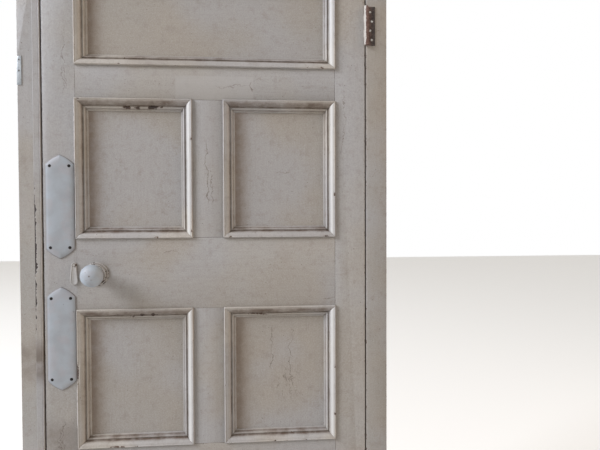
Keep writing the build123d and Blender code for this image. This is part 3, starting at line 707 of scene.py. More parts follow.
def bowed(start, end, rise, count):
    """A shallow arc: the chord, pushed to its left by rise times 4 t (1 - t)."""
    t = np.linspace(0, 1, count)[:, None]
    start, end = np.asarray(start, dtype=float), np.asarray(end, dtype=float)
    chord = end - start
    left = np.array([-chord[1], chord[0]]) / np.linalg.norm(chord)
    return start + chord * t + left * rise * 4 * t * (1 - t)


def softened(line, passes):
    """Rounds an open line's corners: each pass takes a quarter, a half and a quarter of neighbours."""
    line = line.copy()
    for _ in range(passes):
        line[1:-1] = 0.25 * line[:-2] + 0.5 * line[1:-1] + 0.25 * line[2:]
    return line


def wander(places, step_length, seed):
    """A smooth random curve from -1 to 1 whose swings are about step_length long."""
    rng = np.random.default_rng(seed)
    count = int(np.max(places) / step_length) + 3
    t = np.clip(np.asarray(places) / step_length, 0, count - 2)
    values = rng.uniform(-1, 1, count)
    i = np.floor(t).astype(int)
    f = t - i
    f = f * f * (3 - 2 * f)
    return values[i] * (1 - f) + values[i + 1] * f


print("grid helpers ready")

# %% [markdown]
# The bolection moulding. It stands proud of the framing and laps over it, so it hides the joint
# between frame and panel. From outside in: a lip, a broad ovolo that falls towards the panel, a
# quirk, a small bead and a fillet. It could be swept along a path, but mitred ends are simple in
# numbers: a line of the section that lies a millimetres in from the outer edge is 2a shorter.

# %% Moulding section
lip_top = stands("moulding_upper_left")
foot_width = 30.0
panel_depth = 15.0
lap = 2.0
front_line = np.concatenate([
    sampled([(0, 0.3), (0.1, 2.4), (0.5, 4.3), (1.4, 5.8), (2.5, lip_top), (3.4, 6.2), (4.0, 5.1)], 0.7)[:-1],
    bowed((4.0, 5.1), (16.4, -3.3), 2.4, 18)[:-1],
    sampled([(16.4, -3.3), (16.6, -6.1), (18.8, -6.5)], 0.7)[:-1],
    bowed((18.8, -6.5), (24.0, -6.9), 2.2, 10)[:-1],
    sampled([(24.0, -6.9), (24.2, -11.2), (25.0, -11.9), (29.2, -12.3), (foot_width, -14.2)], 0.7),
])
front_line = softened(front_line, 1)
back_line = np.array([(foot_width, -panel_depth), (lap, -panel_depth), (lap, 0.0), (0.0, 0.0)])
section = np.concatenate([front_line, back_line])
across, height = section[:, 0], section[:, 1]
seen = np.arange(len(section)) < len(front_line)
on_lip = hump(across, 2.6, 2.4) * (height > 3) * seen
in_quirk = (hump(across, 17.5, 1.6) + 0.8 * hump(across, 25.2, 1.0) + 0.35 * hump(across, 30.0, 1.2)) * seen
on_slope = hump(across, 11.0, 5.6, 4) * seen
on_ledge = hump(across, 20.5, 7.5, 4) * seen
on_face = hump(across, 9.2, 3.8, 4) * seen
print("section points:", len(section), "lip stands", round(lip_top, 2), "mm proud")

# %% Mitred lengths round an opening
row_apart = 3.0


def chipped(places, seed, per_metre, named=()):
    """How deep the chips are along a length, 0 to 1: a few round dips at random, torn by noise.

    named holds chips put where the real ones are, as (middle, half length, depth) in mm.
    """
    rng = np.random.default_rng(seed)
    length = places.max()
    count = rng.poisson(per_metre * length / 1000)
    chips = np.stack([rng.uniform(0, length, count), rng.uniform(2, 7, count), rng.uniform(0.3, 1.0, count)])
    middles, halves, depths = np.concatenate([chips.T, np.reshape(named, (-1, 3))]).T
    dips = hump(places[:, None], middles, halves) * depths
    torn = 0.75 + 0.5 * wander(places, 3.0, seed + 1)
    return np.clip(dips.sum(axis=1) * torn, 0, 1)


def mitred_length(corner, along, inward, length, seed, per_metre, chips=(), flakes=()):
    """One length: point = corner + along t + inward a + outward h, with t from a to length - a.

    Chips lower the lip. Flakes are bare places low in the section, as (middle, half length, share).
    The quirks and the slopes that face down are darkened as dirt with painted shade, and ledges that
    face up hold dust. The slopes that face the window on the left are lightened as a painted highlight.
    """
    rows = int(length / row_apart)
    s = np.linspace(0, 1, rows)[:, None]
    places = s[:, 0] * length

    def drift(swing, offset):
        """A smooth random change along the length, the same across the section."""
        return wander(places, swing, seed + offset)[:, None]

    chip = chipped(places, seed, per_metre, chips)[:, None]
    t = across + s * (length - 2 * across)
    a = across + 0.16 * drift(60, 2) * seen
    h = height + 0.12 * drift(45, 3) * seen - 1.9 * chip * on_lip - 0.12 * seen
    directions = np.array([along, inward, (0, -1, 0)])
    points = np.array(corner) + mm * sum(v[..., None] * way for v, way in zip((t, a, h), directions))
    rng = np.random.default_rng(seed + 4)
    worn = np.minimum(1.5 * chip * on_lip, 1.0)
    for middle, half, share in flakes:
        torn = np.clip(0.75 + 0.9 * drift(12, 5) + 0.5 * drift(4, 6), 0, 1.4)
        here = hump(places, middle, half, 4)[:, None] * share * torn
        worn = worn + here * hump(across, rng.uniform(15, 22), 4.2) * seen
    cloudy = 0.75 + 0.45 * drift(26, 8)
    # Quirks and slopes that face down are darkened as dirt with painted shade; ledges that face up hold dust.
    dirt = in_quirk * (0.75 + 0.25 * drift(40, 7))
    dirt = dirt + (0.35 + 0.65 * cloudy) * 0.95 * max(0.0, -inward[2]) * on_slope
    dirt = dirt + cloudy * 0.65 * max(0.0, inward[2]) * on_ledge
    # The slopes that face the window on the left are lightened: a painted highlight.
    bleached = on_face * max(0.0, -inward[0]) * np.ones((rows, 1))
    marks = {"worn": np.clip(worn, 0, 1.3), "dirt": np.clip(dirt, 0, 1), "bleached": bleached}
    return points.reshape(-1, 3), tube(rows, len(section)), marks


def moulding_set(node, material, seed, per_metre, chips, flakes):
    """Four mitred lengths round one panel, in the place of the CAD set."""
    (left, _, bottom), (right, _, top), _, (width, _, tall) = box_of(node)
    sides = {
        "top": ((left, leaf_front, top), (1, 0, 0), (0, 0, -1), width),
        "bottom": ((left, leaf_front, bottom), (1, 0, 0), (0, 0, 1), width),
        "left": ((left, leaf_front, top), (0, 0, -1), (1, 0, 0), tall),
        "right": ((right, leaf_front, top), (0, 0, -1), (-1, 0, 0), tall),
    }
    parts = [
        mitred_length(*place, seed * 100 + index * 10, per_metre, chips.get(side, ()), flakes.get(side, ()))
        for index, (side, place) in enumerate(sides.items())
    ]
    piece = mesh_piece(node.replace("moulding", "bolection"), *joined(parts), material)
    finish_piece(piece, "old_paint_moulding", node)


# The mouldings' paint is a lighter copy of the boards': painted light, for the light that their slopes catch.
moulding_paint = old_paint("old_paint_mouldings", "#b8b1a8", "Z", 7, 0.07, 0.1, 0.35)
named_flakes = {
    "moulding_frieze": {"bottom": [(630, 22, 0.8), (120, 30, 0.4)]},
    "moulding_upper_left": {"top": [(150, 46, 1.2), (205, 30, 1.1)]},
    "moulding_upper_right": {"top": [(90, 30, 0.4)], "bottom": [(262, 14, 0.7)]},
    "moulding_middle_left": {"top": [(92, 14, 1.0), (135, 15, 0.9), (161, 10, 1.15), (193, 14, 1.3)]},
    "moulding_middle_right": {"top": [(80, 40, 0.7)], "bottom": [(200, 60, 0.45)]},
    "moulding_lower_left": {"bottom": [(150, 60, 0.6)]},
    "moulding_lower_right": {"bottom": [(110, 50, 0.5)]},
}
named_chips = {
    "moulding_frieze": {"bottom": [(595, 18, 0.5)]},
    "moulding_middle_left": {
        "left": [(137, 8, 1.0), (149, 6, 1.0), (163, 8, 0.9), (180, 10, 1.0)],
        "bottom": [(84, 10, 1.0), (96, 6, 0.9), (109, 9, 1.0)],
    },
    "moulding_upper_right": {"bottom": [(268, 9, 1.0)]},
}
for number, node in enumerate(moulding_nodes):
    moulding_set(node, moulding_paint, 11 + number, 9, named_chips.get(node, {}), named_flakes.get(node, {}))
print("moulding sets:", len(moulding_nodes))

# %% [markdown]
# The cover bead is a low strip planted on the closing jamb, with a small round along the edge where
# the leaf shuts. Every knock and every repaint has told on its outer arris: for a third of a metre
# the paint and some wood are torn away there. The strip is its section carried up the jamb, sunk and
# marked as worn where it is torn.

# %% Cover bead
strip_apart = 2.0


def torn_strip(name, node, tears, material, slot):
    """An upright strip whose outer arris is torn where the drop from the leaf's top says.

    tears holds (middle, half length, width). At each height the torn width is the widest of
    width * exp(-(distance / half) ** 6), made ragged by noise, and the section is sunk inside it.
    """
    low, high, _, (wide, deep, tall) = box_of(node)
    flat, quirk = deep - 0.7, wide - 3.8
    outline = np.concatenate([
        sampled([(0, 0), (0.05, flat - 0.6), (0.4, flat - 0.15), (1.2, flat)], 0.5)[:-1],
        sampled([(1.2, flat), (quirk - 0.4, flat), (quirk, flat - 0.35), (quirk + 0.5, flat)], 0.55)[:-1],
        bowed((quirk + 0.5, flat), (wide - 0.3, flat - 0.5), 0.7, 9),
        [(wide, 0.4), (wide, 0.0), (wide * 0.5, 0.0)],
    ])
    out, rise = outline.T
    rows = int(tall / strip_apart)
    z = np.linspace(low[2], high[2], rows)
    places, drop = (z - low[2]) / mm, (leaf_top - z) / mm
    ragged = np.clip(0.9 + 0.5 * wander(places, 9, 71) + 0.4 * wander(places, 3.0, 72), 0.2, 1.8)
    torn = np.max([width * hump(drop, middle, half, 6) for middle, half, width in tears], axis=0) * ragged
    torn = torn[:, None]
    inside = np.clip((torn - out) / 0.7, 0, 1) * (torn > 0.3)
    x = out + 0.25 * (1 + wander(places, 70, 73)[:, None]) * np.exp(-out / 2)
    y = np.clip(rise - 1.5 * inside, 0.0, deep)
    points = np.stack([low[0] + x * mm, high[1] - y * mm, np.broadcast_to(z[:, None], x.shape)], axis=-1)
    crevice = hump(out, quirk - 0.1, 0.6) * np.ones((rows, 1))
    marks = {"worn": 1.6 * inside, "dirt": 0.5 * crevice}
    finish_piece(mesh_piece(name, points, tube(rows, len(outline)), marks, material), slot, node)


bead_stain = (leaf_top / mm - 1062, 12, 0.75)
bead_paint = old_paint("old_paint_bead", "#a19c96", "Z", 8, 0.08, 0.2, 0.40, stain=bead_stain)
bead_tears = [
    (614, 16, 3.0), (652, 12, 2.0), (690, 36, 4.2), (745, 24, 3.4), (778, 24, 5.4), (818, 26, 6.2),
    (890, 36, 3.6), (928, 4, 2.4), (946, 6, 4.0), (975, 14, 2.0),
]
torn_strip("cover_bead_worn", "cover_bead", bead_tears, bead_paint, "old_paint_moulding")
print("bead torn in", len(bead_tears), "places")

# %% [markdown]
# Turned pieces. A china knob is thrown or pressed, then glazed; the rose behind it is a cast and
# turned brass plate with rings, here under as much paint as the door. Both are a profile of radius
# and distance turned round the spindle, so one function serves: x = r cos a, z = r sin a.

# %% Turning


def turned(profile, x, z, y, outward, around=96):
    """A closed surface from a profile of (radius, distance) in mm, turned round a Y axis.

    outward is -1 when the distance runs towards the front and 1 towards the back.
    """
    profile = np.asarray(profile, dtype=float)
    angle = np.linspace(0, 2 * np.pi, around, endpoint=False)[:, None]
    radius, distance = profile[:, 0] * mm, profile[:, 1] * mm
    px = x + radius * np.cos(angle)
    pz = z + radius * np.sin(angle)
    py = y + outward * distance + 0 * angle
    points = np.stack([px, py, pz], axis=-1).reshape(-1, 3)
    return points, quads(around, len(profile), True, True).tolist(), angle


knob_radius, collar = half_width("knob_front"), half_width("knob_necks")
knob_seat = (leaf_front - box_of("knob_front")[1][1]) / mm
knob_front = stands("knob_front")
hole, hole_end = 9.05, stands("knob_necks") + 0.05
dome_high = 20.0
widest = knob_front - dome_high
rear = np.linspace(math.acos(collar / knob_radius), 0, 30)
rear_depth = (widest - knob_seat) / math.sqrt(1 - (collar / knob_radius) ** 2)
dome = np.linspace(0, np.pi / 2, 40)
power = 1.07
domed = [knob_radius * np.cos(dome) ** power, widest + (knob_front - widest) * np.sin(dome) ** power]
knob_profile = np.concatenate([
    [(0, hole_end), (hole, hole_end), (hole, knob_seat + 0.4), (hole + 0.6, knob_seat)],
    [(collar - 0.3, knob_seat)],
    np.stack([knob_radius * np.cos(rear), widest - rear_depth * np.sin(rear)], axis=1),
    np.stack(domed, axis=1)[1:],
])
print("knob", round(2 * knob_radius, 1), "mm across, stands", round(knob_front, 1), "mm off the leaf")

# %% [markdown]
# White china and metals. The knob is earthenware or porcelain under a clear glaze: a cool white with
# faint iron specks in the body. Years of hands have dulled the gloss and left pits and grey dirt in
# it. Brass tarnishes brown in clouds, zinc goes chalky grey, and bare iron rusts in lumps.

# %% China, brass, iron and zinc


def china(name, tone, shade, speck_size):
    """Glazed ceramic: a cool white body with clouds, iron specks and a worn clear glaze."""
    material, new = new_material(name)
    place = millimetres(new, (31, 17, 5))
    fine = new("noise", place, 1 / 2.6, 3, 0.7)
    specks = new("step", new("cells", place, 1 / speck_size), 0.06, 0.12, 0.9, 0.0)
    worn, dirt, sunk = (new("mark", attribute_name=mark).outputs["Fac"] for mark in ("worn", "dirt", "sunk"))
    layers = [
        (new("step", new("noise", place, 1 / 40, 3), 0.35, 0.70), shade),
        (new("step", fine, 0.56, 0.74, 0.0, 0.35), "#8d8f92"),
        (new("times", specks, new("step", new("noise", place, 1 / 22), 0.50, 0.62)), "#4d4742"),
        (new("step", new("noise", place, 1 / 30), 0.44, 0.62, 0.0, 0.3), "#a69c9c"),
        (new("times", worn, new("step", new("noise", place, 1 / 3.5, 3), 0.45, 0.58)), "#6a5546"),
        # Dark marks: glaze pits, dirt, and painted shade at the rims of plates; the walls of screw sinks go
        # near-black, grime with painted shade.
        (new("times", dirt, 0.85), "#5e5045"),
        (new("times", sunk, 0.95), "#221d19"),
    ]
    rough = new("step", fine, 0.3, 0.8, 0.50, 0.66)
    return dress(material, tone, layers, rough, new("noise", place, 1 / 9), 0.25, 0.25, IOR=1.52)


def metal(name, tone, tarnish, rough, size, share, metallic=1.0):
    """A cast or rolled metal: its own colour, clouds of tarnish in size mm patches, fine scratches."""
    material, new = new_material(name)
    place = millimetres(new, (7, 53, 29))
    clouds = new("noise", place, 1 / size, 5, 0.6)
    fine = new("noise", place, 1 / 1.3, 3, 0.7)
    layers = [
        (new("step", clouds, 0.40, 0.64, 0.0, share), tarnish),
        (new("step", fine, 0.52, 0.75, 0.0, 0.35), tarnish),
    ]
    dulled = new("step", clouds, 0.35, 0.70, rough, rough + 0.25)
    height = new("times plus", clouds, 0.6, fine)
    return dress(material, tone, layers, dulled, height, 0.5, 0.1, Metallic=metallic)


def rusted(name, painted_to):
    """Rolled iron, rusted brown in lumps, under paint that has stayed only left of painted_to in mm."""
    material, new = new_material(name)
    place = millimetres(new, (3, 11, 41))
    x = new("split", millimetres(new)).outputs["X"]
    lumps = new("noise", place, 1 / 7, 5, 0.65)
    fine = new("noise", place, 1 / 1.6, 3, 0.7)
    dark = new("mix", new("step", lumps, 0.40, 0.62), linear("#332e2c"), linear("#544945")).outputs[2]
    bare_side = new("step", x, painted_to - 2, painted_to + 3)
    kept = new("step", new("times plus", bare_side, -0.45, new("noise", place, 1 / 9, 4, 0.6)), 0.34, 0.40)
    layers = [
        (new("step", lumps, 0.36, 0.66), "#8c756e"),
        # Right of the barrel the flap darkens gradually: dark rust, with a painted shadow that the barrel casts on it.
        (new("step", x, painted_to + 5, painted_to + 20), dark),
        (new("step", fine, 0.50, 0.72, 0.0, 0.5), "#2e2622"),
        (kept, "#b9b1a8"),
    ]
    rough = new("step", kept, 0, 1, 0.85, 0.5)
    return dress(material, "#6a514a", layers, rough, new("times plus", kept, 0.8, lumps), 0.8, 0.35)


hinge_x = box_of("hinge_upper_pin")[2][0] / mm
finishes = {
    "knob": china("white_china_glaze", "#b0b7be", "#a1a8ae", 13),
    "plate": china("white_enamel", "#a1a6ab", "#989b9e", 21),
    "brass": metal("tarnished_brass", "#8a754f", "#54483a", 0.34, 14, 0.85),
    "iron": metal("greasy_iron", "#5d5a57", "#38322d", 0.42, 10, 0.8),
    "zinc": metal("galvanised_steel", "#a9acae", "#85898c", 0.40, 9, 0.6, 0.8),
    "bright": metal("zinc_plated_screw", "#b5b2ad", "#7c7468", 0.32, 3, 0.6),
    "dark": metal("blackened_screw", "#2b2724", "#15120f", 0.55, 3, 0.7, 0.5),
    "hinge": rusted("rusted_iron_hinge", hinge_x - 1.5),
}
print("finishes:", ", ".join(finishes))

# %% Knobs


def knob(name, node, y, outward, flaws):
    """A china knob: the profile turned round the spindle. flaws are dark pits in its glaze.

    Each flaw is (x, z, radius, share) in mm from the spindle, and fades as exp(-(distance / radius) ** 4).
    """
    points, faces, angle = turned(knob_profile, spindle_x, lock_z, y, outward)
    dirt = np.tile(hump(knob_profile[:, 1], knob_seat, 3.0), len(angle))
    on_dome = np.tile(knob_profile[:, 1] > widest, len(angle))
    for x, z, radius, share in flaws:
        away = np.hypot((points[:, 0] - spindle_x) / mm - x, (points[:, 2] - lock_z) / mm - z)
        dirt = np.maximum(dirt, share * hump(away, 0, radius, 4) * on_dome)
    finish_piece(mesh_piece(name, points, faces, {"dirt": dirt}, finishes["knob"]), "white_china", node)


front_flaws = [(0.2, 1.2, 2.1, 1.0), (-9.5, 10.3, 1.4, 0.7), (-7.0, -8.4, 1.3, 0.5), (4.5, -8.0, 2.0, 0.4)]
knob("china_knob_front", "knob_front", leaf_front, -1, front_flaws)
knob("china_knob_back", "knob_back", leaf_back, 1, [(5.0, -4.0, 1.6, 0.7), (-9.0, 8.0, 1.2, 0.5)])
print("knob profile points:", len(knob_profile), "pits in front:", len(front_flaws))

# %% [markdown]
# The rose and the drop cover were painted in with the door more than once. The paint has rounded
# their rings and broken away at the edges, so they share the door's own paint with more chips.

# %% Roses
rose_edge, rose_high = half_width("rose_front"), stands("rose_front")
rose_hole = 9.1
rose_line = sampled([
    (rose_edge, 0), (rose_edge, 2.2), (rose_edge - 0.8, 3.3), (rose_edge - 3.0, 3.9), (rose_edge - 4.2, 3.0),
    (rose_edge - 5.4, 3.2), (rose_edge - 6.2, 5.9), (rose_edge - 8.2, 6.6), (rose_edge - 9.4, 5.4),
    (rose_edge - 12.6, 6.4), (rose_edge - 15.2, 8.4), (rose_edge - 16.4, rose_high), (9.6, rose_high),
    (rose_hole, 8.6),
], 0.6)
rose_profile = np.concatenate([softened(rose_line, 2), [(rose_hole, 0.0)]])
rose_ridges = (rose_edge - 0.5, rose_edge - 5.6, 14.5)
lobed, lobes_round = 22.8, 15
rim_length = 190


def rose(name, node, y, outward, seed):
    """A ringed rose: the profile turned, its middle ring lobed, with random chips on its ridges."""
    points, faces, angle = turned(rose_profile, spindle_x, lock_z, y, outward, 240)
    radius, rise = rose_profile.T
    lobes = hump(radius, lobed, 1.7) * (rise > 3)
    points[:, 1] += outward * mm * (0.55 * np.abs(np.sin(lobes_round * angle)) * lobes - 0.3 * lobes).ravel()
    round_mm = angle[:, 0] / (2 * np.pi) * rim_length
    chips = np.clip(3.0 * wander(round_mm, 6, seed) + 1.4 * wander(round_mm, 2.2, seed + 1) - 0.5, 0, 1.7)
    worn = chips[:, None] * sum(hump(radius, ridge, 1.5) for ridge in rose_ridges)
    dirt = hump(radius, 18.5, 1.4) + hump(radius, 25.6, 0.9)
    marks = {"worn": worn, "dirt": np.clip(0.6 * dirt + 0 * worn, 0, 1)}
    finish_piece(mesh_piece(name, points, faces, marks, brass_paint), "painted_brass", node)


brass_paint = old_paint("old_paint_on_brass", "#b0aca6", "Z", 9, 0.08, 0.1, 0.3)
rose("painted_rose_front", "rose_front", leaf_front, -1, 5)
rose("painted_rose_back", "rose_back", leaf_back, 1, 8)
print("rose", round(2 * rose_edge), "mm across")

# %% [markdown]
# Finger plates keep hands off the paint. These are pressed and enamelled, with a pointed arch at
# each end, a steep small chamfer at the rim and a face that swells slightly to its middle. The
# outline is drawn again and again, each time a little further in and higher: straight sides move in,
# and the arcs keep their centres and lose radius.

# %% Finger plates


def plate_outline(half, tip, shoulder, bulge, inset, count=22):
    """One loop of the plate's outline in mm, inset from its edge, starting at the upper tip.

    Each end arc passes through the shoulder and the tip with a given bulge, so its radius is
    (chord ** 2 / 4 + bulge ** 2) / (2 bulge). The inset loop meets the side and the middle line
    where the smaller arc crosses them.
    """
    chord = math.hypot(half, tip - shoulder)
    radius = (chord ** 2 / 4 + bulge ** 2) / (2 * bulge)
    middle = np.array([half / 2, (tip + shoulder) / 2])
    outwards = np.array([tip - shoulder, half]) / chord
    centre = middle - outwards * (radius - bulge)
    small = radius - inset
    side = half - inset
    x = side * np.linspace(0, 1, count)
    z = centre[1] + np.sqrt(small ** 2 - (x - centre[0]) ** 2)
    arch = np.stack([x, z], axis=1)
    run = np.linspace(z[-1], -z[-1], 60)[1:-1]
    right = np.concatenate([arch, np.stack([np.full_like(run, side), run], axis=1), (arch * [1, -1])[::-1]])
    left = (right * [-1, 1])[::-1][1:-1]
    return np.concatenate([right, left])


def drawn(centre, loops, rise):
    """Points of loops drawn on a board's face about a centre, each lifted off it by its rise in mm."""
    return np.array(centre) + mm * np.stack([loops[..., 0], -rise, loops[..., 1]], axis=-1)


def holes_through(piece, cutters):
    """Cuts closed shapes out of a piece with an exact boolean and keeps the result as its mesh."""
    points, faces, _ = joined(cutters)
    tool = mesh_piece("cutter", points, faces, {}, piece.data.materials[0])
    cut = piece.modifiers.new("holes", "BOOLEAN")
    cut.object = tool
    cut.solver = "EXACT"
    graph = bpy.context.evaluated_depsgraph_get()
    mesh = bpy.data.meshes.new_from_object(piece.evaluated_get(graph))
    piece.modifiers.clear()
    piece.data = mesh
    bpy.data.objects.remove(tool)


head_radius, head_depth, shank_radius, screw_reach = 3.4, 2.5, 1.8, 19 * mm


def read(items, name):
    """A vector of every point or face of a mesh, as an array of rows."""
    values = np.empty(len(items) * 3)
    items.foreach_get(name, values)
    return values.reshape(-1, 3)


def screw_ends(node):
    """For each screw of a CAD group: the middle of its head and the way that it looks.

    Points within a screw's length of one another are one screw. The longest side of its box is its
    axis, and its head is the end with the wider spread.
    """
    points = read(nodes[node].data.vertices, "co")
    ends = []
    while len(points):
        close = np.linalg.norm(points - points[0], axis=1) < screw_reach
        clump, points = points[close], points[~close]
        low, high = clump.min(axis=0), clump.max(axis=0)
        axis = int(np.argmax(high - low))
        rims = [clump[np.abs(clump[:, axis] - end[axis]) < 0.3 * mm] for end in (low, high)]
        spreads = [np.ptp(rim, axis=0).max() for rim in rims]
        upward = spreads[1] > spreads[0]
        head, look = (low + high) / 2, np.zeros(3)
        head[axis] = high[axis] if upward else low[axis]
        look[axis] = 1.0 if upward else -1.0
        ends.append((head, look))
    return ends


plate_screws = [head for head, _ in screw_ends("finger_plate_screws")]


def finger_plate(name, node, seed):
    """A pressed plate: rims at growing insets and heights up to a flat middle, and sinks for screws."""
    low, high, (x, _, z), (wide, thick, tall) = box_of(node)
    insets = np.array([0.0, 0.0, 0.2, 0.7, 2.2, 3.5, 5.5, 9.0, 14.0, 20.0, 26.0, 31.0])
    below = np.array([thick, 3.9, 3.7, 3.4, 2.85, 2.30, 1.60, 0.85, 0.34, 0.10, 0.02, 0.0])
    heights = thick - below
    shoulder, bulge = tall / 2 - 25.0, 2.6
    loops = np.array([plate_outline(wide / 2, tall / 2, shoulder, bulge, inset) for inset in insets])
    level = np.ones(loops.shape[1])
    chips = np.clip(1.6 * wander(np.arange(len(level)) * 3.0, 14, seed) - 0.8, 0, 1)
    # The foot of the rim, where it meets the board, is darkened: dirt with a painted shadow round the plate.
    dirt = hump(heights, 0, 1.9, 4)[:, None] * level
    marks = {"worn": hump(insets, 0.6, 1.0)[:, None] * chips, "dirt": dirt}
    points = drawn((x, high[1], z), loops, heights[:, None] * level)
    piece = mesh_piece(name, points, tube(len(insets), len(level)), marks, finishes["plate"])
    sink = [(0, -0.5), (head_radius + 0.6, -0.5), (head_radius + 0.55, 0.75), (head_radius + 0.2, 1.6)]
    sink += [(shank_radius + 0.1, head_depth + 1.3), (shank_radius + 0.1, thick + 1), (0, thick + 1)]
    inside = [p for p in plate_screws if low[2] < p[2] < high[2]]
    holes_through(piece, [(*turned(sink, p[0], p[2], low[1], 1, 32)[:2], {}) for p in inside])
    mesh = piece.data
    middles, normals = read(mesh.polygons, "center"), read(mesh.polygons, "normal")
    off = np.min([np.hypot(middles[:, 0] - p[0], middles[:, 2] - p[2]) for p in inside], axis=0)
    # Faces in the screw sinks are marked near-black: grime with painted shade in the sinks.
    sunk = (off < (head_radius + 0.8) * mm) & (np.abs(normals[:, 1]) < 0.9)
    mesh.attributes.new("sunk", "FLOAT", "FACE").data.foreach_set("value", sunk.astype(float))
    mesh.shade_smooth()
    mesh.set_sharp_from_angle(angle=math.radians(50))
    finish_piece(piece, "white_china", node)


finger_plate("enamel_plate_upper", "finger_plate_upper", 21)
finger_plate("enamel_plate_lower", "finger_plate_lower", 22)
print("plates over", len(plate_screws), "screws")

# %% [markdown]
# The drop cover swings on a pin over the keyhole and falls shut by its own weight, which keeps the
# weather and the draught out of the lock. Its outline is two circles and the straight lines that
# touch both: the lines leave each circle where its radius is square to them. A raised rim follows
# the same outline a little further in. Inside it the loops turn to circles round the pin, with a
# darker ring in a groove, and end in the pin's bore.

# %% Drop cover


def drop_outline(top, foot, length, inset, around=26):
    """One loop round two circles, top and foot in radius and length apart, drawn inset further in.

    The touching line turns from the upright by the angle whose sine is (foot - top) / length.
    """
    lean = math.asin((foot - top) / length)
    upper = np.linspace(-lean, math.pi + lean, around)
    lower = np.linspace(math.pi + lean, 2 * math.pi - lean, around)
    side = np.linspace(0, 1, 14)[1:-1, None]
    head = (top - inset) * np.stack([np.cos(upper), np.sin(upper)], axis=1)
    tail = (foot - inset) * np.stack([np.cos(lower), np.sin(lower)], axis=1) - [0, length]
    left = head[-1] + (tail[0] - head[-1]) * side
    right = tail[-1] + (head[0] - tail[-1]) * side
    return np.concatenate([head, left, tail, right])


bore = 2.15
far_in = 99.0


def drop_cover(name, node):
    """The cover: rims at growing insets, a raised edge, a hollow inside it and circles round its pin.

    Inside the rims each loop is a circle of fixed radius about the pin, or a little less than the
    loop before it where that one already lies nearer. The last two are the bore, above and below.
    """
    low, high, (x, _, _), (wide, thick, tall) = box_of(node)
    foot, top = wide / 2, 6.7
    insets = [0.0, 0.0, 0.2, 0.9, 1.6, 2.0, 2.4, 2.8, 3.2]
    below = [thick, 1.5, 1.15, 0.55, 0.12, 0.0, 0.08, 0.4, 0.6]
    loops = [drop_outline(top, foot, tall - top - foot, inset) for inset in insets]
    away = np.hypot(*loops[-1].T)[:, None]
    outwards = loops[-1] / away
    circles = (5.2, 4.5, 4.1, 3.7, 3.3, 2.9, bore, bore)
    loops += [outwards * np.minimum(radius, away - 0.1 * (i + 1)) for i, radius in enumerate(circles)]
    loops = np.array(loops)
    insets = np.array(insets + [far_in] * len(circles))
    heights = thick - np.array(below + [0.65] * len(circles))
    rows, count = loops.shape[:2]
    from_pin = np.hypot(loops[..., 0], loops[..., 1])
    ring = hump(from_pin, 3.9, 0.6)
    rise = np.where(from_pin < 3.2, thick, heights[:, None] + np.zeros(count)) - 0.5 * ring
    rise[-1] = 0.0
    in_head = hump(loops[..., 0], 6, 3) * hump(loops[..., 1], -4, 7)
    along = np.arange(count) * 1.6
    chips = np.clip(1.5 * wander(along, 6, 41) + 0.4 * wander(along, 2, 42) - 0.35, 0, 1)
    worn = 1.6 * hump(insets, 0.9, 1.4)[:, None] * (chips + 0.4) * in_head
    marks = {"worn": worn, "dirt": np.clip(0.3 * hump(insets, 2.6, 0.5)[:, None] + ring, 0, 1)}
    points = drawn((x, high[1], high[2] - top * mm), loops, rise)
    piece = mesh_piece(name, points, quads(rows, count, True, True).tolist(), marks, brass_paint)
    piece.data.set_sharp_from_angle(angle=math.radians(55))
    finish_piece(piece, "painted_brass", node)


drop_cover("drop_cover_painted", "key_cover")
print("drop cover on its pin at", [round(v, 4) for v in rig.box("key_cover")[1]])

# %% [markdown]
# Screws. A slotted countersunk screw: the head lies flush in its sink, or deeper where the sink is
# wide, and the slot is sawn across it. One screw is made from a turned profile with the slot cut out
# of it, and each place gets a copy of its points, turned to look out of its own board with its slot
# at its own angle.

# %% Slotted screws


def screw_master():
    """Points and faces of one screw whose head faces +Z at the origin, its slot along X."""
    profile = [
        (0.0, 0.10), (1.6, 0.08), (2.9, 0.0), (3.25, -0.12), (3.38, -0.32), (1.8, -2.5), (1.8, -3.4),
        (1.45, -4.0), (1.7, -4.6), (1.45, -5.4), (1.7, -6.2), (1.45, -7.0), (1.6, -9.0), (1.2, -13.0),
        (0.3, -15.6), (0.0, -15.9),
    ]
    angle = np.linspace(0, 2 * np.pi, 26, endpoint=False)[:, None]
    profile = np.array(profile)
    rings = [profile[:, 0] * np.cos(angle), profile[:, 0] * np.sin(angle), profile[:, 1] + 0 * angle]
    points = np.stack(rings, axis=-1) * mm
    master = mesh_piece("screw", points, quads(26, len(profile), True, False).tolist(), {}, finishes["dark"])
    corners = np.array([(x, y, z) for x in (-4, 4) for y in (-0.5, 0.5) for z in (-0.9, 1)]) * mm
    sides = [(0, 1, 3, 2), (4, 6, 7, 5), (0, 4, 5, 1), (2, 3, 7, 6), (0, 2, 6, 4), (1, 5, 7, 3)]
    holes_through(master, [(corners, sides, {})])
    places = read(master.data.vertices, "co")
    faces = [tuple(polygon.vertices) for polygon in master.data.polygons]
    bpy.data.objects.remove(master)
    return places, faces


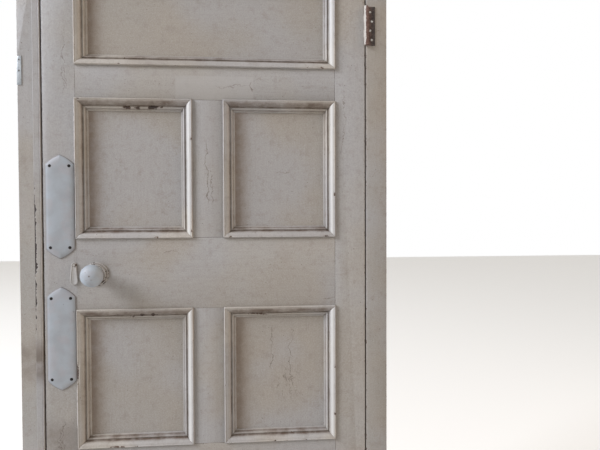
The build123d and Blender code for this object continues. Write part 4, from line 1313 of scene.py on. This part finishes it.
def screws(name, node, material, slot, seed, sunk=0.25):
    """A slotted screw at each place of a CAD group, all in one piece."""
    rng = np.random.default_rng(seed)
    parts = []
    for head, look in screw_ends(node):
        spin = Matrix.Rotation(rng.uniform(0, math.pi), 3, "Z")
        turn = Vector(look).to_track_quat("Z", "Y").to_matrix() @ spin
        points = master_points @ np.array(turn).T + head - look * sunk * mm
        parts.append((points, master_faces, {}))
    points, faces, _ = joined(parts)
    piece = mesh_piece(name, points, faces, {}, material, weld=0.0)
    piece.data.set_sharp_from_angle(angle=math.radians(40))
    finish_piece(piece, slot, node)


master_points, master_faces = screw_master()
screws("slotted_screws_plates", "finger_plate_screws", finishes["dark"], "dark_screw", 3, 1.2)
screws("slotted_screws_frame", "frame_screws", finishes["bright"], "bright_screw", 4)
screws("slotted_screws_hinge", "leaf_screws", finishes["hinge"], "rusty_steel", 5)
print("screw faces:", len(master_faces))

# %% [markdown]
# The rest of the ironmongery keeps the solids' own shapes. Plates get eased arrises, so that they
# catch light, and each takes the metal it is made of. The lock inside the door shows only at its
# forend, but it slides in and out of sight, so it is finished too.

# %% Hinges, plates and lock
flaps = [f"hinge_{side}_{flap}_flap" for side in ("upper", "lower") for flap in ("frame", "leaf")]
metal_plates = [
    *((flap, finishes["hinge"], "rusty_steel", 0.45) for flap in flaps),
    ("strike_plate", finishes["brass"], "dull_brass", 0.4),
    ("lock_forend", finishes["brass"], "dull_brass", 0.4),
    ("back_escutcheon", finishes["brass"], "dull_brass", 0.35),
    ("key_escutcheon", brass_paint, "painted_brass", 0.35),
    ("fixing_plate", finishes["zinc"], "galvanised_steel", 0.3),
]
for node, material, slot, radius in metal_plates:
    eased(node, material, slot, radius * mm, shortest=5 * mm, outer=False)
eased("back_mouldings", paints["frame"], "old_paint_moulding", 1.2 * mm, outer=False)

plain_finishes = {
    "iron": ["lock_case", "latch_bolt", "dead_bolt", "follower", "spindle"],
    "brass": ["knob_necks"],
    "hinge": ["hinge_upper_pin", "hinge_lower_pin"],
}
for finish, kept in plain_finishes.items():
    for node in kept:
        nodes[node].data.materials.clear()
        nodes[node].data.materials.append(finishes[finish])
shown = [node for node in nodes if not nodes[node].hide_render]
bare = [node for node in shown if "material" in nodes[node].data.materials[0].name.lower()]
print("finished nodes:", sum(len(kept) for kept in plain_finishes.values()), "bare:", bare)

# %% Close
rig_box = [list(corner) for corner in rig.bounds()]
with open("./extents.json", "w") as sizes:
    json.dump({"cad": cad_box, "visual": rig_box}, sizes)
print("visual box:", [[round(v, 4) for v in corner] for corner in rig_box])
